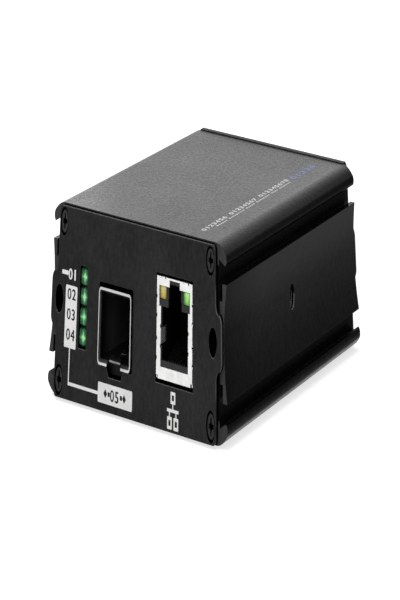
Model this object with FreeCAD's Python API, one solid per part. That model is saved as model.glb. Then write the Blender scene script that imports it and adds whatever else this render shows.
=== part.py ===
import FreeCAD, Part
import math
import os

V = FreeCAD.Vector

# Fibre media converter: a wide, flat box made of one aluminium extrusion closed by two
# screwed-on end plates, with a circuit board that slides into the extrusion.
# Millimetres.  X runs across the front, Y from front to back, Z up.
# The origin is at the middle of the underside.

# ---------------------------------------------------------------- driving dimensions
# Extruded body
body_length = 98.6
body_width = 81.6
body_height = 25.2
top_wall = 1.5
side_wall = 1.7
cavity_corner_r = 0.8
lip_overhang = 3.4          # from the side wall, in the grooves, to the lip's nose
lip_roll = 4.9              # width of the part of the top that rolls over into the lip
lip_r = 8.5
lip_nose_r = 0.8
lip_slope = 15.0            # degrees, underside of the lip
band_inset = 0.05           # the band's edge lies this far inside the lip's nose
band_drop = 5.2             # from the body's top to the band's upper edge
band_hollow = 1.3           # how far the band's face curves in at mid-height
band_flange = 1.9
band_tip = 2.25             # from the band's upper edge down to the web that carries it

# Through channel behind each ear, and the tapped hole in each side band
channel_inset = 1.8         # its axis, inside the side wall's outer face
channel_play = 0.35         # wider than the ear's hole in front of it
channel_wall = 1.15
side_hole_r = 1.65

# Corner screws and their ports in the extrusion
screw_inset_x = 2.85        # inside the side wall's outer face
screw_inset_z = 2.31        # from the body's top and underside
screw_r = 1.0
screw_length = 8.0
screw_head_r = 1.62
countersink_play = 0.33     # the head lies this far below the plate's face
screw_hole_play = 0.15
recess_span = 2.3
recess_tip = 0.7
recess_width = 0.62
recess_depth = 0.85
recess_straight = 0.1       # depth over which the recess keeps its full span
port_wall = 1.2
port_slot = 1.2
thread_play = 0.02

# End plates
plate_thickness = 1.8
plate_inset_side = 0.7      # inside the side wall's outer face
plate_inset_edge = 0.15     # inside the body's top and underside
rear_plate_rise = 0.35      # how much higher the rear plate's upper edge is than the front's
plate_corner_r = 1.1
ear_rim = 1.8               # metal outside the ear's hole
ear_base_half = 4.9
ear_flat_half = 2.2
ear_hole_r = 1.9

# Circuit board and its guides
board_thickness = 1.6
board_over_port = 0.12      # above the lower screw ports
board_corner_r = 1.0
board_play = 0.3            # at the sides and ends
guide_play = 0.1            # above the board, in the guide slot
guide_depth = 1.9
guide_thickness = 1.0
pin_play = 0.06
tail_length = 1.1           # how far a pin stands out below the board

# Transceiver cage, for a small-form-factor pluggable module
cage_x = -8.75
cage_width = 14.3
cage_height = 9.1
cage_sheet = 0.3
cage_corner_r = 0.5
cage_proud = 0.8
cage_depth = 47.6
cage_flare = 0.4
cage_flare_depth = 0.9
cage_rim = 0.34
cage_cutout_beside = 0.85   # gaps between cage and panel
cage_cutout_below = 0.65
cage_cutout_above = 0.95
cage_cutout_r = 0.5
notch_top = 7.6             # trapezoid notch under the cage, for the module's latch
notch_bottom = 5.7
notch_depth = 1.15
tongue_width = 5.0
tongue_slit = 0.7
tongue_length = 10.5
tongue_rise = 0.55
tongue_bend = 2.4           # behind the panel's face, where the tongue levels out
tongue_tip_start = 0.9      # where its end turns down
tongue_tip_reach = 0.1
tongue_tip_drop = 0.4
tongue_root = 0.6           # overlap with the floor behind the slits
latch_hole_back = 6.2       # triangular hole for the module's latch boss
latch_hole_front = 3.8
latch_hole_wide = 2.8
latch_hole_narrow = 1.0
vent_r = 0.8
vent_start = 13.0           # first row of vents, behind the panel's face
vent_pitch = 2.6
vent_spread = 3.8           # across the cage
vent_rows = 3
vent_columns = 6
side_spring_start = 20.0
side_spring_length = 7.5
side_spring_half = 1.0
side_spring_slit = 0.3
side_spring_dip = 0.8       # how far it bends into the cage
side_spring_tip = 0.5
side_spring_run = 2.0       # length of its last, flatter part
side_spring_root = 0.4
ring_finger_half = 1.3
ring_side_half = 1.2
ring_top_pitch = 4.6
ring_side_pitch = 4.2
ring_sheet = 0.2
ring_start = 0.15
ring_crest_front = 1.2
ring_crest_back = 2.8
ring_knee = 5.2
ring_end = 6.6
ring_lift = 0.4
ring_knee_lift = 0.1
ring_root = 0.1             # how far both ends sink into the sheet
cage_pin = 0.6
cage_pin_first = 5.0        # from the panel's inner face to the first foot
cage_pin_last = 7.0         # from the last foot to the cage's back
cage_pins_a_side = 4
floor_slot_play = 1.6       # in front of the host connector
floor_slot_margin = 1.0     # beside it

# Edge connector at the back of the cage
host_width = 11.6
host_height = 5.9
host_depth = 8.4
host_slot_width = 9.4
host_slot_height = 1.2
host_slot_z = 3.4           # above the board
host_slot_depth = 5.6
host_pitch = 0.8
host_contacts_a_row = 10
host_contact_width = 0.3
host_contact_sheet = 0.2
host_contact_rise = 0.35    # upper contacts, above the slot
host_contact_dip = 0.1      # and how far they bend into it
host_contact_tip = 0.9      # behind the connector's face
host_contact_knee = 2.4
host_contact_root = 4.6
host_foot = 1.1
host_groove_play = 0.04
host_groove_depth = 1.0
host_groove_start = 0.5
host_chamfer = 0.7
host_foot_step = 0.8
host_foot_rise = 0.4
host_back_room = 2.0        # behind it, inside the cage, for the contacts' feet

# Modular jack
jack_from_side = 17.43      # its middle, inside the case's right wall
jack_width = 16.2
jack_height = 12.9
jack_depth = 21.3
jack_sheet = 0.3
jack_cutout_gap = 0.4
jack_cutout_below = 0.55
jack_face_side = 1.85       # width of the bright strip beside the opening
jack_face_bottom = 1.5
jack_face_top = 1.15
jack_bridge = 0.2
insert_play = 0.05
cavity_side = 2.1           # wall between the plug cavity and the jack's side
cavity_floor = 2.25         # above the board
cavity_drop = 3.85          # from the jack's top down to the cavity's roof
cavity_end = 3.5            # from the cavity's back to the moulding's back
latch_width = 4.75
latch_drop = 0.95           # latch slot's roof, below the jack's top
latch_step_width = 6.2
latch_step_drop = 2.7
insert_back_room = 4.15     # between the moulding and the shield's back
lamp_from_side = 2.65       # a lamp's middle, inside the jack's side
lamp_width = 3.0
lamp_height = 1.75
lamp_drop = 2.05            # a lamp's middle, below the jack's top
lamp_depth = 6.0
lamp_recess = 0.15
lamp_round = 0.3
lamp_pocket_play = 0.05
lamp_shoulder = 0.9         # the shield's opening, below a lamp
lamp_margin = 0.1           # and beside it
lamp_lead = 0.4
lamp_lead_pitch = 1.6
lamp_lead_room = 0.6        # behind the moulding
jack_contact_pitch = 1.02
jack_contact_count = 8
jack_contact_width = 0.42
jack_contact_thickness = 0.3
jack_contact_play = 0.05
jack_run = 1.0              # contacts' run under the cavity floor, above the board
jack_run_front = 1.7        # where they turn up, behind the panel's face
jack_turn_front = 1.35
jack_turn_rise = 1.5
jack_hook_front = 1.8
jack_hook_rise = 2.1
jack_wire_back = 8.4        # free end of the wires in the cavity
jack_wire_rise = 4.0
jack_tail_back = 1.35       # rear row of tails, before the moulding's back
jack_tail_step = 1.3
jack_peg_from_side = 1.75
jack_peg_y = 6.4
jack_peg_r = 0.8
jack_bite_r = 0.28
jack_tab_y = 9.6
jack_tab_half = 0.8
jack_finger_end = 6.0       # side and top fingers' windows, behind the panel's face
jack_finger_start = 0.1     # the fingers themselves: root, crest and tip
jack_finger_rise = 2.4
jack_finger_fall = 4.4
jack_finger_tip = 5.6
jack_finger_half = 0.95
jack_finger_slit = 0.25
jack_top_finger_half = 0.85
jack_top_finger_x = 2.9     # inside the jack's side
jack_finger_low = 3.75      # above the board
jack_finger_high = 3.85     # below the jack's top
jack_finger_bulge = 0.34
ground_finger_z = 5.3
ground_finger_half = 1.0
ground_finger_slit = 0.25
ground_finger_dip = 0.35
ground_finger_crest = 2.6
ground_finger_end = 3.8
ground_finger_rest = 0.1    # its end's distance from the cavity wall's line
corner_bite_width = 0.8
corner_bite_rise = 0.45

# Status lamps
status_beside_cage = 15.45  # between the middles of lamps and cage
status_rise = 6.05          # middle of the row of lamps, above the board
status_gap = 0.35           # between two lamps
status_count = 4
status_width = 3.3
status_height = 2.25
status_round = 0.55
status_soft = 0.35
status_recess = 0.4
status_depth = 5.2
status_lead = 0.5
status_lead_gap = 1.27
status_lead_start = 0.3     # behind the holder
slot_beside = 0.2           # gaps between the lamps and the panel
slot_beyond = 0.325
slot_r = 0.3
holder_wall = 0.8
holder_play = 0.03
holder_depth = 7.0
holder_foot = 0.2
holder_foot_height = 0.8

# Power inlet
inlet_from_side = 17.7      # its middle, inside the case's left wall
inlet_width = 9.0
inlet_height = 10.9
inlet_depth = 13.6
inlet_axis = 6.5            # above the board
inlet_nose_wall = 0.8
inlet_nose_proud = 0.8
inlet_hole_gap = 0.15
inlet_bore_r = 3.2
inlet_bore_depth = 10.5
inlet_lead_in = 0.5
inlet_chamfer = 0.5
inlet_pin_r = 1.0
inlet_pin_play = 0.02
inlet_pin_tip = 1.4         # from the mouth to the pin's tip
inlet_pin_round = 0.6
inlet_terminal = 0.5
inlet_terminal_width = 2.8
inlet_terminal_rise = 1.6
inlet_spring_width = 2.2
inlet_spring_sheet = 0.3
inlet_spring_lift = 0.05    # into the bore
inlet_spring_leg = 7.2      # its leg, from the socket's face
inlet_spring_bend = 6.2
inlet_spring_crest = 3.6
inlet_spring_end = 1.6
inlet_spring_drop = 0.5     # its free end, below the bore
inlet_spring_leg_drop = 0.8
inlet_spring_bend_drop = 0.4
inlet_slot_play = 0.1
inlet_slot_end = 0.4        # slot's ends, beyond the spring's

# Parts soldered on the board
chip_stand = 0.1
chip_lead_reach = 1.3
chip_lead_shoulder = 0.52   # where the lead turns down
chip_lead_foot = 0.72       # where its foot begins
chip_lead_thickness = 0.2
chip_draft = 0.12
chip_parting_share = 0.45   # of a chip's height, below its parting line
can_r = 3.15
can_height = 9.2
can_base = 7.0
can_base_height = 1.2
can_groove = 0.3
can_groove_rise = 0.8
can_groove_half = 0.4
can_round = 0.4
can_count = 2
can_from_inlet = 13.0
can_gap = 1.6
can_behind = 4.0
coil_size = 7.4
coil_height = 4.2
coil_corner_r = 1.4
coil_rim = 0.5
coil_gap = 0.4
coil_well = 0.6
coil_overlap = 0.1
coil_before_inlet = 7.5
crystal_x = 4.0
crystal_y = 8.0
crystal_length = 10.6
crystal_width = 3.9
crystal_height = 3.6
crystal_flange = 0.4
crystal_flange_height = 0.5
ceramic_length = 1.6
ceramic_width = 0.8
ceramic_height = 0.75
ceramic_pitch = 2.6
ceramic_count = 7
ceramic_from_leads = 2.0
bridge_x = 4.0
bridge_y = 22.0
bridge_size = 12.0
bridge_height = 1.4
bridge_lead_count = 12
bridge_pitch = 0.8
bridge_lead = 0.35
magnetics_width = 15.2
magnetics_length = 9.6
magnetics_height = 5.4
magnetics_lead_count = 8
magnetics_pitch = 1.27
magnetics_lead = 0.5
magnetics_behind_jack = 9.0
memory_x = 20.0
memory_y = 14.0
memory_width = 4.9
memory_length = 3.9
memory_height = 1.5
memory_lead_count = 4
memory_pitch = 1.27
memory_lead = 0.42
regulator_beside_inlet = 10.0
regulator_width = 6.5
regulator_length = 3.6
regulator_height = 1.6
regulator_lead_count = 3
regulator_pitch = 2.3
regulator_lead = 0.7

beyond = 1.0                # how far a cutting shape runs past what it cuts
overlap = 0.05              # how far joined shapes reach into each other

# ---------------------------------------------------------------- places worked out from them
middle_z = body_height / 2
lip_reach = body_width / 2
lip_start_x = lip_reach - lip_roll
side_wall_x = lip_reach - lip_overhang
cavity_x = side_wall_x - side_wall
band_edge_x = lip_reach - band_inset
band_half = middle_z - band_drop
web_half = band_half - band_tip
channel_x = side_wall_x - channel_inset
channel_r = ear_hole_r + channel_play
port_r = screw_r + thread_play
screw_x = side_wall_x - screw_inset_x
screw_hole_r = screw_r + screw_hole_play
countersink_r = screw_head_r + countersink_play

front_y = -(body_length / 2 + plate_thickness)      # outer face of the front plate
rear_y = body_length / 2 + plate_thickness          # outer face of the rear plate
front_inner_y = front_y + plate_thickness
rear_inner_y = rear_y - plate_thickness
plate_height = body_height - 2 * plate_inset_edge
plate_half_width = side_wall_x - plate_inset_side
ear_reach = channel_x + ear_hole_r + ear_rim

board_bottom = screw_inset_z + port_r + port_wall + board_over_port
board_top = board_bottom + board_thickness
board_half_width = cavity_x - board_play
tail_z = board_bottom - tail_length

cage_half = cage_width / 2
cage_bottom = board_top
cage_top = board_top + cage_height
cage_middle_z = cage_bottom + cage_height / 2
cage_front_y = front_y - cage_proud
cage_back_y = cage_front_y + cage_depth
cutout_bottom = cage_bottom - cage_cutout_below
host_back_y = cage_back_y - host_back_room
host_front_y = host_back_y - host_depth
host_slot_low = board_top + host_slot_z - host_slot_height / 2
host_slot_high = host_slot_low + host_slot_height

jack_x = cavity_x - jack_from_side
jack_side = jack_width / 2
jack_back_y = front_y + jack_depth
jack_top = board_top + jack_height
insert_front_y = front_y + jack_sheet + insert_play
insert_back_y = jack_back_y - jack_sheet - insert_back_room
cavity_depth = insert_back_y - cavity_end - insert_front_y
lamp_offset = jack_side - lamp_from_side
lamp_z = jack_height - lamp_drop
lamp_back_y = front_y + lamp_recess + lamp_depth
lamp_drop_y = insert_back_y + lamp_lead_room

status_x = cage_x - status_beside_cage
status_z = board_top + status_rise
status_pitch = status_height + status_gap
status_front_y = front_y + status_recess
status_back_y = status_front_y + status_depth
slot_width = status_width + 2 * slot_beside
slot_height = (status_count - 1) * status_pitch + status_height + 2 * slot_beyond
holder_half = status_width / 2 + holder_wall
holder_back_y = front_inner_y + holder_depth

inlet_x = inlet_from_side - cavity_x
inlet_z = board_top + inlet_axis
inlet_nose_r = inlet_bore_r + inlet_nose_wall
inlet_mouth_y = rear_y + inlet_nose_proud
inlet_face_y = rear_inner_y - board_play
inlet_back_y = inlet_face_y - inlet_depth
inlet_leg_y = inlet_face_y - inlet_spring_leg


# ---------------------------------------------------------------- helpers
def box(x0, x1, y0, y1, z0, z1):
    """Block between two corners."""
    return Part.makeBox(x1 - x0, y1 - y0, z1 - z0, V(x0, y0, z0))


def rod(axis, centre, r, start, end):
    """Cylinder along X, Y or Z.  centre holds the two other coordinates, in order."""
    a, b = centre
    place, direction = {
        "x": (V(start, a, b), V(1, 0, 0)),
        "y": (V(a, start, b), V(0, 1, 0)),
        "z": (V(a, b, start), V(0, 0, 1)),
    }[axis]
    return Part.makeCylinder(r, end - start, place, direction)


def fuse(shapes):
    """One shape made of all the given shapes."""
    shapes = list(shapes)
    if len(shapes) == 1:
        return shapes[0]
    return shapes[0].multiFuse(shapes[1:]).removeSplitter()


def cut(shape, tools):
    """The shape without the given tools."""
    return shape.cut(Part.Compound(list(tools)))


def mirrored_x(shape, x=0.0):
    """The shape mirrored across the plane at x."""
    return shape.mirror(V(x, 0, 0), V(1, 0, 0))


def prism_y(points, y0, y1):
    """A polygon in XZ, drawn along Y."""
    wire = Part.makePolygon([V(x, y0, z) for x, z in points] + [V(points[0][0], y0, points[0][1])])
    return Part.Face(wire).extrude(V(0, y1 - y0, 0))


def prism_x(points, x0, x1):
    """A polygon in YZ, drawn along X."""
    wire = Part.makePolygon([V(x0, y, z) for y, z in points] + [V(x0, points[0][0], points[0][1])])
    return Part.Face(wire).extrude(V(x1 - x0, 0, 0))


def rounded_wire(x0, x1, z0, z1, r, y):
    """Rectangle with round corners in the XZ plane at y."""
    edges = []
    corners = [(x1 - r, z1 - r, 0), (x0 + r, z1 - r, 90), (x0 + r, z0 + r, 180), (x1 - r, z0 + r, 270)]
    for cx, cz, start in corners:
        ends = []
        for turn in (start, start + 45, start + 90):
            a = math.radians(turn)
            ends.append(V(cx + r * math.cos(a), y, cz + r * math.sin(a)))
        if edges:
            edges.append(Part.LineSegment(last, ends[0]).toShape())
        else:
            first = ends[0]
        edges.append(Part.Arc(*ends).toShape())
        last = ends[2]
    edges.append(Part.LineSegment(last, first).toShape())
    return Part.Wire(edges)


def rounded_block(x0, x1, z0, z1, r, y0, y1):
    """Block along Y with four round edges."""
    return Part.Face(rounded_wire(x0, x1, z0, z1, r, y0)).extrude(V(0, y1 - y0, 0))


def prism_z(points, z0, z1):
    """A polygon in XY, drawn along Z."""
    wire = Part.makePolygon([V(x, y, z0) for x, y in points] + [V(points[0][0], points[0][1], z0)])
    return Part.Face(wire).extrude(V(0, 0, z1 - z0))


def strip(path, thickness):
    """Outline of a bent sheet-metal strip: points along one face, offset by the thickness."""
    sides = []
    for sign in (0, 1):
        row = []
        for i, (a, b) in enumerate(path):
            before = path[max(i - 1, 0)]
            after = path[min(i + 1, len(path) - 1)]
            da, db = after[0] - before[0], after[1] - before[1]
            size = math.hypot(da, db)
            row.append((a - sign * thickness * db / size, b + sign * thickness * da / size))
        sides.append(row)
    return sides[0] + sides[1][::-1]


def chip(place, size, leads, pitch, lead_width, sides):
    """Moulded chip with gull-wing leads.  sides says which sides have them: x, y or both."""
    x, y = place
    width, length, height = size
    low = board_top + chip_stand
    parting = low + chip_parting_share * height
    top = board_top + height
    half = width / 2
    profile = [
        (-half + chip_draft, low),
        (half - chip_draft, low),
        (half, parting),
        (half - chip_draft, top),
        (-half + chip_draft, top),
        (-half, parting),
    ]
    shapes = [prism_y(profile, -length / 2, length / 2)]
    run = [
        (-chip_lead_thickness, parting),
        (chip_lead_shoulder, parting),
        (chip_lead_foot, board_top),
        (chip_lead_reach, board_top),
    ]
    section = strip(run, chip_lead_thickness)
    for i in range(leads):
        along = (i - (leads - 1) / 2) * pitch
        for turn, reach in ((0, length / 2), (90, width / 2), (180, length / 2), (270, width / 2)):
            if ("y" if turn in (0, 180) else "x") not in sides:
                continue
            lead = prism_x(section, along - lead_width / 2, along + lead_width / 2)
            lead.translate(V(0, reach, 0))
            lead.rotate(V(0, 0, 0), V(0, 0, 1), turn)
            shapes.append(lead)
    return fuse(shapes).translated(V(x, y, 0))


# ---------------------------------------------------------------- extruded body
def body_quarter_edges():
    """Upper right quarter of the extrusion's outline, from the top's middle to mid-height."""
    top = body_height
    roll_z = top - lip_r
    turn = math.asin((lip_reach - lip_nose_r - lip_start_x) / (lip_r - lip_nose_r))
    nose_x = lip_reach - lip_nose_r
    nose_z = roll_z + (lip_r - lip_nose_r) * math.cos(turn)
    slope = math.radians(lip_slope)

    def on_roll(a):
        return V(lip_start_x + lip_r * math.sin(a), 0, roll_z + lip_r * math.cos(a))

    def on_nose(a):
        return V(nose_x + lip_nose_r * math.cos(a), 0, nose_z + lip_nose_r * math.sin(a))

    end = -math.pi / 2 - slope
    nose_start = math.pi / 2 - turn
    under = on_nose(end)
    root = V(side_wall_x, 0, under.z + (under.x - side_wall_x) * math.tan(slope))
    web = V(side_wall_x, 0, middle_z + web_half)
    inner = V(band_edge_x - band_flange, 0, middle_z + web_half)
    tip = V(band_edge_x - band_flange, 0, middle_z + band_half)
    edge = V(band_edge_x, 0, middle_z + band_half)
    face_r = (band_half ** 2 + band_hollow ** 2) / (2 * band_hollow)
    half = math.asin(band_half / face_r) / 2
    face_x = band_edge_x - band_hollow + face_r
    waist = V(face_x - face_r * math.cos(half), 0, middle_z + face_r * math.sin(half))
    centre = V(band_edge_x - band_hollow, 0, middle_z)
    return [
        Part.LineSegment(V(0, 0, top), on_roll(0)).toShape(),
        Part.Arc(on_roll(0), on_roll(turn / 2), on_roll(turn)).toShape(),
        Part.Arc(on_nose(nose_start), on_nose((nose_start + end) / 2), under).toShape(),
        Part.LineSegment(under, root).toShape(),
        Part.LineSegment(root, web).toShape(),
        Part.LineSegment(web, inner).toShape(),
        Part.LineSegment(inner, tip).toShape(),
        Part.LineSegment(tip, edge).toShape(),
        Part.Arc(edge, waist, centre).toShape(),
    ]


def screw_places():
    """Middles of the four corner screws, as (x, z)."""
    heights = (screw_inset_z, body_height - screw_inset_z)
    return [(sx * screw_x, z) for sx in (-1, 1) for z in heights]


def extruded_body():
    """Aluminium extrusion: lips, side bands, board guides, screw ports and through channels."""
    quarter = body_quarter_edges()
    half = quarter + [e.mirror(V(0, 0, middle_z), V(0, 0, 1)) for e in quarter]
    outline = half + [e.mirror(V(0, 0, 0), V(1, 0, 0)) for e in half]
    wire = Part.Wire(Part.__sortEdges__(outline))
    start = -body_length / 2
    end = body_length / 2
    shell = Part.Face(wire).extrude(V(0, body_length, 0)).translated(V(0, start, 0))
    shell = shell.cut(
        rounded_block(-cavity_x, cavity_x, top_wall, body_height - top_wall, cavity_corner_r, start, end)
    )
    added = []
    removed = []
    for x, z in screw_places():
        inwards = -math.copysign(45, x) if z < middle_z else -math.copysign(135, x)
        added.append(rod("y", (x, z), port_r + port_wall, start, end))
        removed.append(rod("y", (x, z), port_r, start, end))
        slot = box(-port_slot / 2, port_slot / 2, start, end, 0, port_r + port_wall + beyond)
        slot.rotate(V(0, 0, 0), V(0, 1, 0), inwards)
        removed.append(slot.translated(V(x, 0, z)))
    for sx in (-1, 1):
        left, right = sorted((sx * (cavity_x - guide_depth), sx * (cavity_x + side_wall / 2)))
        over = board_top + guide_play
        added.append(box(left, right, start, end, over, over + guide_thickness))
        added.append(box(left, right, start, end, board_bottom - guide_thickness, board_bottom))
        added.append(rod("y", (sx * channel_x, middle_z), channel_r + channel_wall, start, end))
        removed.append(rod("y", (sx * channel_x, middle_z), channel_r, start, end))
        near, far = sorted((sx * channel_x, sx * (band_edge_x + beyond)))
        removed.append(rod("x", (0, middle_z), side_hole_r, near, far))
    return cut(fuse([shell] + added), removed).removeSplitter()


# ---------------------------------------------------------------- end plates
def ear_edge():
    """S-shaped upper edge of the right ear, from the plate's side out to its flat end: two arcs."""
    rise = ear_base_half - ear_flat_half
    reach = ear_reach - plate_half_width
    bend = 2 * math.atan(reach / rise)
    r = rise / (2 * math.sin(bend))
    arcs = [
        (plate_half_width + r, middle_z + ear_base_half, -1),
        (ear_reach - r, middle_z + ear_flat_half, 1),
    ]
    edges = []
    for x, z, sign in arcs:
        points = []
        for share in (0, 0.5, 1):
            a = bend * share
            points.append(V(x + sign * r * math.cos(a), 0, z + sign * r * math.sin(a)))
        edges.append(Part.Arc(*points).toShape())
    return edges


def plate_quarter(top):
    """Upper right quarter of an end plate's outline, with its upper edge at the given height."""
    corner_z = top - plate_corner_r
    corner_x = plate_half_width - plate_corner_r
    d = plate_corner_r * math.sqrt(0.5)
    corner = [V(corner_x, 0, top), V(corner_x + d, 0, corner_z + d), V(plate_half_width, 0, corner_z)]
    side_end = V(plate_half_width, 0, middle_z + ear_base_half)
    quarter = [
        Part.LineSegment(V(0, 0, top), corner[0]).toShape(),
        Part.Arc(*corner).toShape(),
        Part.LineSegment(corner[2], side_end).toShape(),
    ]
    quarter += ear_edge()
    flat = [V(ear_reach, 0, middle_z + ear_flat_half), V(ear_reach, 0, middle_z)]
    quarter.append(Part.LineSegment(*flat).toShape())
    return quarter


def plate_blank(y0, rise):
    """End plate with its two ears and their holes, its face towards the front at y0."""
    top = middle_z + plate_height / 2
    half = plate_quarter(top + rise)
    half += [e.mirror(V(0, 0, middle_z), V(0, 0, 1)) for e in plate_quarter(top)]
    outline = half + [e.mirror(V(0, 0, 0), V(1, 0, 0)) for e in half]
    wire = Part.Wire(Part.__sortEdges__(outline))
    plate = Part.Face(wire).extrude(V(0, plate_thickness, 0)).translated(V(0, y0, 0))
    far = y0 + plate_thickness + beyond
    ear_holes = [rod("y", (sx * channel_x, middle_z), ear_hole_r, y0 - beyond, far) for sx in (-1, 1)]
    return cut(plate.removeSplitter(), ear_holes)


def screw_seats(outer_y, inward):
    """Countersunk holes for the corner screws.  inward is +1 for the front plate, -1 for the rear."""
    seats = []
    depth = countersink_r - screw_hole_r
    for x, z in screw_places():
        cone = Part.makeCone(countersink_r, screw_hole_r, depth, V(x, outer_y, z), V(0, inward, 0))
        through = sorted((outer_y - inward * beyond, outer_y + inward * (plate_thickness + beyond)))
        seats.append(cone.fuse(rod("y", (x, z), screw_hole_r, through[0], through[1])))
    return seats


def front_plate():
    """Front plate: status lamp slot, module cut-out with its latch notch, and jack cut-out."""
    y0 = front_y - beyond
    y1 = front_inner_y + beyond
    notch = prism_y(
        [
            (cage_x - notch_top / 2, cutout_bottom + overlap),
            (cage_x - notch_top / 2, cutout_bottom),
            (cage_x - notch_bottom / 2, cutout_bottom - notch_depth),
            (cage_x + notch_bottom / 2, cutout_bottom - notch_depth),
            (cage_x + notch_top / 2, cutout_bottom),
            (cage_x + notch_top / 2, cutout_bottom + overlap),
        ],
        y0,
        y1,
    )
    lamp_slot = rounded_block(
        status_x - slot_width / 2,
        status_x + slot_width / 2,
        status_z - slot_height / 2,
        status_z + slot_height / 2,
        slot_r,
        y0,
        y1,
    )
    half = cage_half + cage_cutout_beside
    module_cutout = rounded_block(
        cage_x - half,
        cage_x + half,
        cutout_bottom,
        cage_top + cage_cutout_above,
        cage_cutout_r,
        y0,
        y1,
    )
    half = jack_side + jack_cutout_gap
    jack_low = board_top - jack_cutout_below
    jack_cutout = box(jack_x - half, jack_x + half, y0, y1, jack_low, jack_top + jack_cutout_gap)
    openings = [lamp_slot, module_cutout.fuse(notch), jack_cutout]
    return cut(plate_blank(front_y, 0), openings + screw_seats(front_y, 1))


def rear_plate():
    """Rear plate: the same blank, with a round hole for the power inlet's nose."""
    r = inlet_nose_r + inlet_hole_gap
    hole = rod("y", (inlet_x, inlet_z), r, rear_inner_y - beyond, rear_y + beyond)
    return cut(plate_blank(rear_inner_y, rear_plate_rise), [hole] + screw_seats(rear_y, -1))


# ---------------------------------------------------------------- screws
def screw(x, z, outer_y, inward):
    """Countersunk screw with a cross recess.  Its cone sits on the plate's countersink."""
    drop = countersink_r - screw_head_r
    cone = screw_head_r - screw_r
    profile = [
        (0, drop),
        (screw_head_r, drop),
        (screw_r, drop + cone),
        (screw_r, screw_length),
        (0, screw_length),
    ]
    wire = Part.makePolygon([V(r, d, 0) for r, d in profile] + [V(0, profile[0][1], 0)])
    solid = Part.Face(wire).revolve(V(0, 0, 0), V(0, 1, 0), 360)
    wing = [
        (-recess_span / 2, drop - recess_straight),
        (recess_span / 2, drop - recess_straight),
        (recess_span / 2, drop + recess_straight),
        (recess_tip / 2, drop + recess_depth),
        (-recess_tip / 2, drop + recess_depth),
        (-recess_span / 2, drop + recess_straight),
    ]
    wire = Part.makePolygon([V(a, d, -recess_width / 2) for a, d in wing + wing[:1]])
    blade = Part.Face(wire).extrude(V(0, 0, recess_width))
    cross = blade.copy()
    cross.rotate(V(0, 0, 0), V(0, 1, 0), 90)
    solid = solid.cut(blade.fuse(cross))
    if inward < 0:
        solid.rotate(V(0, 0, 0), V(0, 0, 1), 180)
    return solid.translated(V(x, outer_y, z))


def screws(outer_y, inward):
    """The four screws of one end plate."""
    return Part.Compound([screw(x, z, outer_y, inward) for x, z in screw_places()])


# ---------------------------------------------------------------- transceiver cage
def cage_section(y, grow):
    """Round-cornered outline of the cage at y, grown by the given distance."""
    half = cage_half + grow
    r = max(cage_corner_r + grow, overlap)
    return rounded_wire(cage_x - half, cage_x + half, cage_bottom - grow, cage_top + grow, r, y)


def cage_pin_places():
    """Feet of the cage, as (x0, x1, y0, y1)."""
    first = front_inner_y + cage_pin_first
    pitch = (cage_back_y - cage_pin_last - first) / (cage_pins_a_side - 1)
    places = []
    for i in range(cage_pins_a_side):
        y = first + i * pitch
        for sx in (-1, 1):
            x0, x1 = sorted((cage_x + sx * cage_half, cage_x + sx * (cage_half - cage_sheet)))
            places.append((x0, x1, y - cage_pin / 2, y + cage_pin / 2))
    return places


def cage_finger_ring():
    """Spring fingers round the cage's mouth that press on the edge of the panel."""
    path = [
        (ring_start, -ring_root),
        (ring_crest_front, ring_lift),
        (ring_crest_back, ring_lift),
        (ring_knee, ring_knee_lift),
        (ring_end, -ring_root),
    ]
    section = strip([(front_y + y, off) for y, off in path], ring_sheet)
    fingers = []
    for step in (-1, 0, 1):
        middle = cage_x + step * ring_top_pitch
        profile = [(y, cage_top + off) for y, off in section]
        fingers.append(prism_x(profile, middle - ring_finger_half, middle + ring_finger_half))
    for step in (-0.5, 0.5):
        middle = cage_middle_z + step * ring_side_pitch
        profile = [(cage_x + cage_half + off, y) for y, off in section]
        right = prism_z(profile, middle - ring_side_half, middle + ring_side_half)
        fingers += [right, mirrored_x(right, cage_x)]
    return fingers


def cage_tongue():
    """Latch tongue in the cage's floor, with the hole that the module's latch boss drops into."""
    end = front_y + tongue_length
    raised = cage_bottom + tongue_rise
    path = [
        (front_y + tongue_tip_reach, raised - tongue_tip_drop),
        (front_y + tongue_tip_start, raised),
        (front_y + tongue_bend, raised),
        (end, cage_bottom),
        (end + tongue_root, cage_bottom),
    ]
    tongue = prism_x(strip(path, cage_sheet), cage_x - tongue_width / 2, cage_x + tongue_width / 2)
    hole = [
        (cage_x - latch_hole_wide / 2, front_y + latch_hole_back),
        (cage_x + latch_hole_wide / 2, front_y + latch_hole_back),
        (cage_x + latch_hole_narrow / 2, front_y + latch_hole_front),
        (cage_x - latch_hole_narrow / 2, front_y + latch_hole_front),
    ]
    return tongue.cut(prism_z(hole, cage_bottom - beyond, raised + beyond))


def cage_side_springs():
    """Leaf spring cut out of each side wall and bent inwards, to press on the module."""
    wall_x = cage_x + cage_half
    start = front_y + side_spring_start
    end = start + side_spring_length
    path = [
        (wall_x, start - side_spring_root),
        (wall_x, start),
        (wall_x - side_spring_dip, end - side_spring_run),
        (wall_x - side_spring_tip, end - side_spring_root),
    ]
    low = cage_middle_z - side_spring_half
    right = prism_z(strip(path, cage_sheet), low, low + 2 * side_spring_half)
    return [right, mirrored_x(right, cage_x)]


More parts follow.
